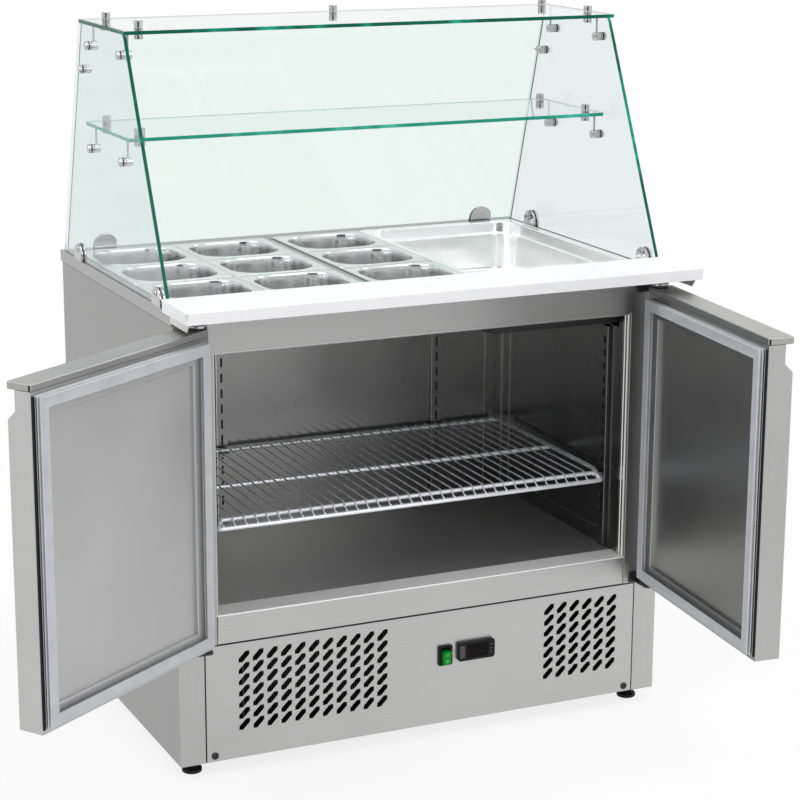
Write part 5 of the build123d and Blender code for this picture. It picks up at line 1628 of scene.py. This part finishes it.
def make_pans():
    for number in range(1, 10):
        node = "small_pan_" + str(number)
        mesh = pan_mesh(
            node, *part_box(node), mouth_corner=0.048, rim_corner=0.006, walls=SMALL_WALLS, foot_radius=0.012,
        )
        piece(node + "_shell", mesh, [node], [PAN_STEEL, PAN_UNDERSIDE_PAINTED_SHADE])
    mesh = pan_mesh(
        "large_pan", *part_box("large_pan"), mouth_corner=0.038, rim_corner=0.010, walls=LARGE_WALLS,
        foot_radius=0.015,
    )
    piece("large_pan_shell", mesh, ["large_pan"], [LARGE_PAN_STEEL_PAINTED_LIGHT, PAN_UNDERSIDE_PAINTED_SHADE])


BAR_TOP = 0.0652
GAP_HEIGHT = (-0.001, 0.0001)
SLIT_WIDTH = (-0.0046, -0.0014)
SLIT_INSET = 0.012
GAP_X = (-0.0016, 0.0021)
GAP_Y = (-0.0019, 0.0018)


def make_bar_gaps():
    """Black patches in the gaps between the bars, painted shade for the dark well below: a long slit beside
    the third column, and spots where pan corners meet.
    """
    back_low, back_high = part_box("small_pan_1")
    slit_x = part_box("small_pan_7")[0].x
    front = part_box("small_pan_9")[0].y
    bottom, top = (back_low.z + BAR_TOP + height for height in GAP_HEIGHT)
    spans = [(
        (slit_x + SLIT_WIDTH[0], front + SLIT_INSET, bottom),
        (slit_x + SLIT_WIDTH[1], back_high.y - SLIT_INSET, top),
    )]
    rows = [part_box("small_pan_" + str(number))[0].y for number in (1, 2)]
    columns = [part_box("small_pan_" + str(number))[1].x for number in (1, 7)]
    for x in columns:
        for y in rows:
            spans.append(((x + GAP_X[0], y + GAP_Y[0], bottom), (x + GAP_X[1], y + GAP_Y[1], top)))
    piece("bar_gaps", boxes("bar_gaps", *spans), ["divider_bars"], [BLACK_PAINT], replaces=False)


# Cutting board

BOARD_CORNER = 0.004
BOARD_EDGE = 0.0012
BOARD_SHARP = 30
BOARD_FLAT = 0.001
UPRIGHT_RISE = 0.005


def upright_edge(start, end):
    return abs(start.z - end.z) > UPRIGHT_RISE


def make_board():
    shape = welded_copy("cutting_board")
    round_edges(shape, BOARD_CORNER, upright_edge, 5, least=60)
    round_edges(shape, BOARD_EDGE, segments=3, least=BOARD_SHARP)
    piece("board_slab", finished(shape, "board_slab", BOARD_SHARP, flat_over=BOARD_FLAT), ["cutting_board"])


# Machine compartment

COMPRESSOR_PLATE = 0.010
COMPRESSOR_SHELL = (
    (0, 0), (0.056, 0), (0.060, 0.006), (0.060, 0.050), (0.064, 0.053), (0.064, 0.057), (0.060, 0.060),
    (0.059, 0.090), (0.052, 0.108), (0.036, 0.117), (0.012, 0.1195), (0, 0.120),
)
FINS = 60
FIN_HALF = 0.0003
FIN_INSET = 0.002
FIN_START = 0.003
PIPE_ROWS = 6
PIPE_RADIUS = 0.0045
PIPE_INSET = 0.018
PIPE_START = 0.015
PIPE_END = 0.001
MOTOR_EDGE = 0.0012


def make_compressor():
    low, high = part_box("compressor")
    center = (low + high) / 2
    top = low.z + COMPRESSOR_PLATE
    base = bmesh.new()
    box_faces(base, (low.x, low.y, low.z), (high.x, high.y, top))
    meshes = [
        finished(base, "compressor_plate"),
        lathed("compressor_shell", COMPRESSOR_SHELL, (center.x, center.y, top), (0, 0, 1), 40, 40),
    ]
    piece("domed_compressor", joined_mesh("domed_compressor", meshes), ["compressor"])


def condenser_frame(low, high):
    shape = bmesh.new()
    box_faces(shape, (low.x, low.y, low.z), (low.x + SHEET, high.y, high.z))
    box_faces(shape, (high.x - SHEET, low.y, low.z), (high.x, high.y, high.z))
    box_faces(shape, (low.x, low.y, low.z), (high.x, high.y, low.z + SHEET))
    box_faces(shape, (low.x, low.y, high.z - SHEET), (high.x, high.y, high.z))
    return finished(shape, "condenser_frame")


def make_condenser(rows):
    """A block of thin fins in a sheet frame, with rows of pipes through them."""
    low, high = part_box("condenser")
    fin = bmesh.new()
    near = (-FIN_HALF, low.y + FIN_INSET, low.z + FIN_INSET)
    far = (FIN_HALF, high.y - FIN_INSET, high.z - FIN_INSET)
    box_faces(fin, near, far)
    pitch = (high.x - low.x - 2 * FIN_START) / (FINS - 1)
    start = (low.x + FIN_START, 0, 0)
    meshes = [repeated(rows, "fins", finished(fin, "fin"), FIN_ALUMINIUM, FINS, (pitch, 0, 0), start)]
    rise = (high.z - low.z - 2 * PIPE_START) / (PIPE_ROWS - 1)
    for row in range(PIPE_ROWS):
        z = low.z + PIPE_START + row * rise
        for y in (low.y + PIPE_INSET, high.y - PIPE_INSET):
            line = [(low.x + PIPE_END, y, z), (high.x - PIPE_END, y, z)]
            meshes.append(tube("pipe", line, PIPE_RADIUS, 10))
    meshes.append(condenser_frame(low, high))
    piece("finned_condenser", joined_mesh("finned_condenser", meshes), ["condenser"])


def make_machine(rows):
    make_compressor()
    make_condenser(rows)
    softened("motor_block", "fan_motor", MOTOR_EDGE)
    softened("fan_wheel", "fan_blades", SHEET_EDGE)


set_camera()
pale_room()
dress_nodes()
PLATES = slotted_plate_grower()
ROWS = row_grower()
make_cabinet()
make_lower_panel(PLATES)
make_screws()
make_feet()
make_controls()
make_shelf(ROWS)
make_breaker_strip()
make_pilasters()
make_liner_hems()
make_floor_lip()
make_door("left", -1, LEFT_OPENING, LEFT_DOOR_STEEL, LEFT_LINING_LIT_COPY)
make_door("right", 1, RIGHT_OPENING, RIGHT_DOOR_STEEL_SHADED_COPY, RIGHT_LINING_SHADED_COPY)
make_hinges()
make_glass()
make_clamps()
make_pans()
make_bar_gaps()
make_board()
make_machine(ROWS)
bpy.context.scene.view_settings.view_transform = "Standard"
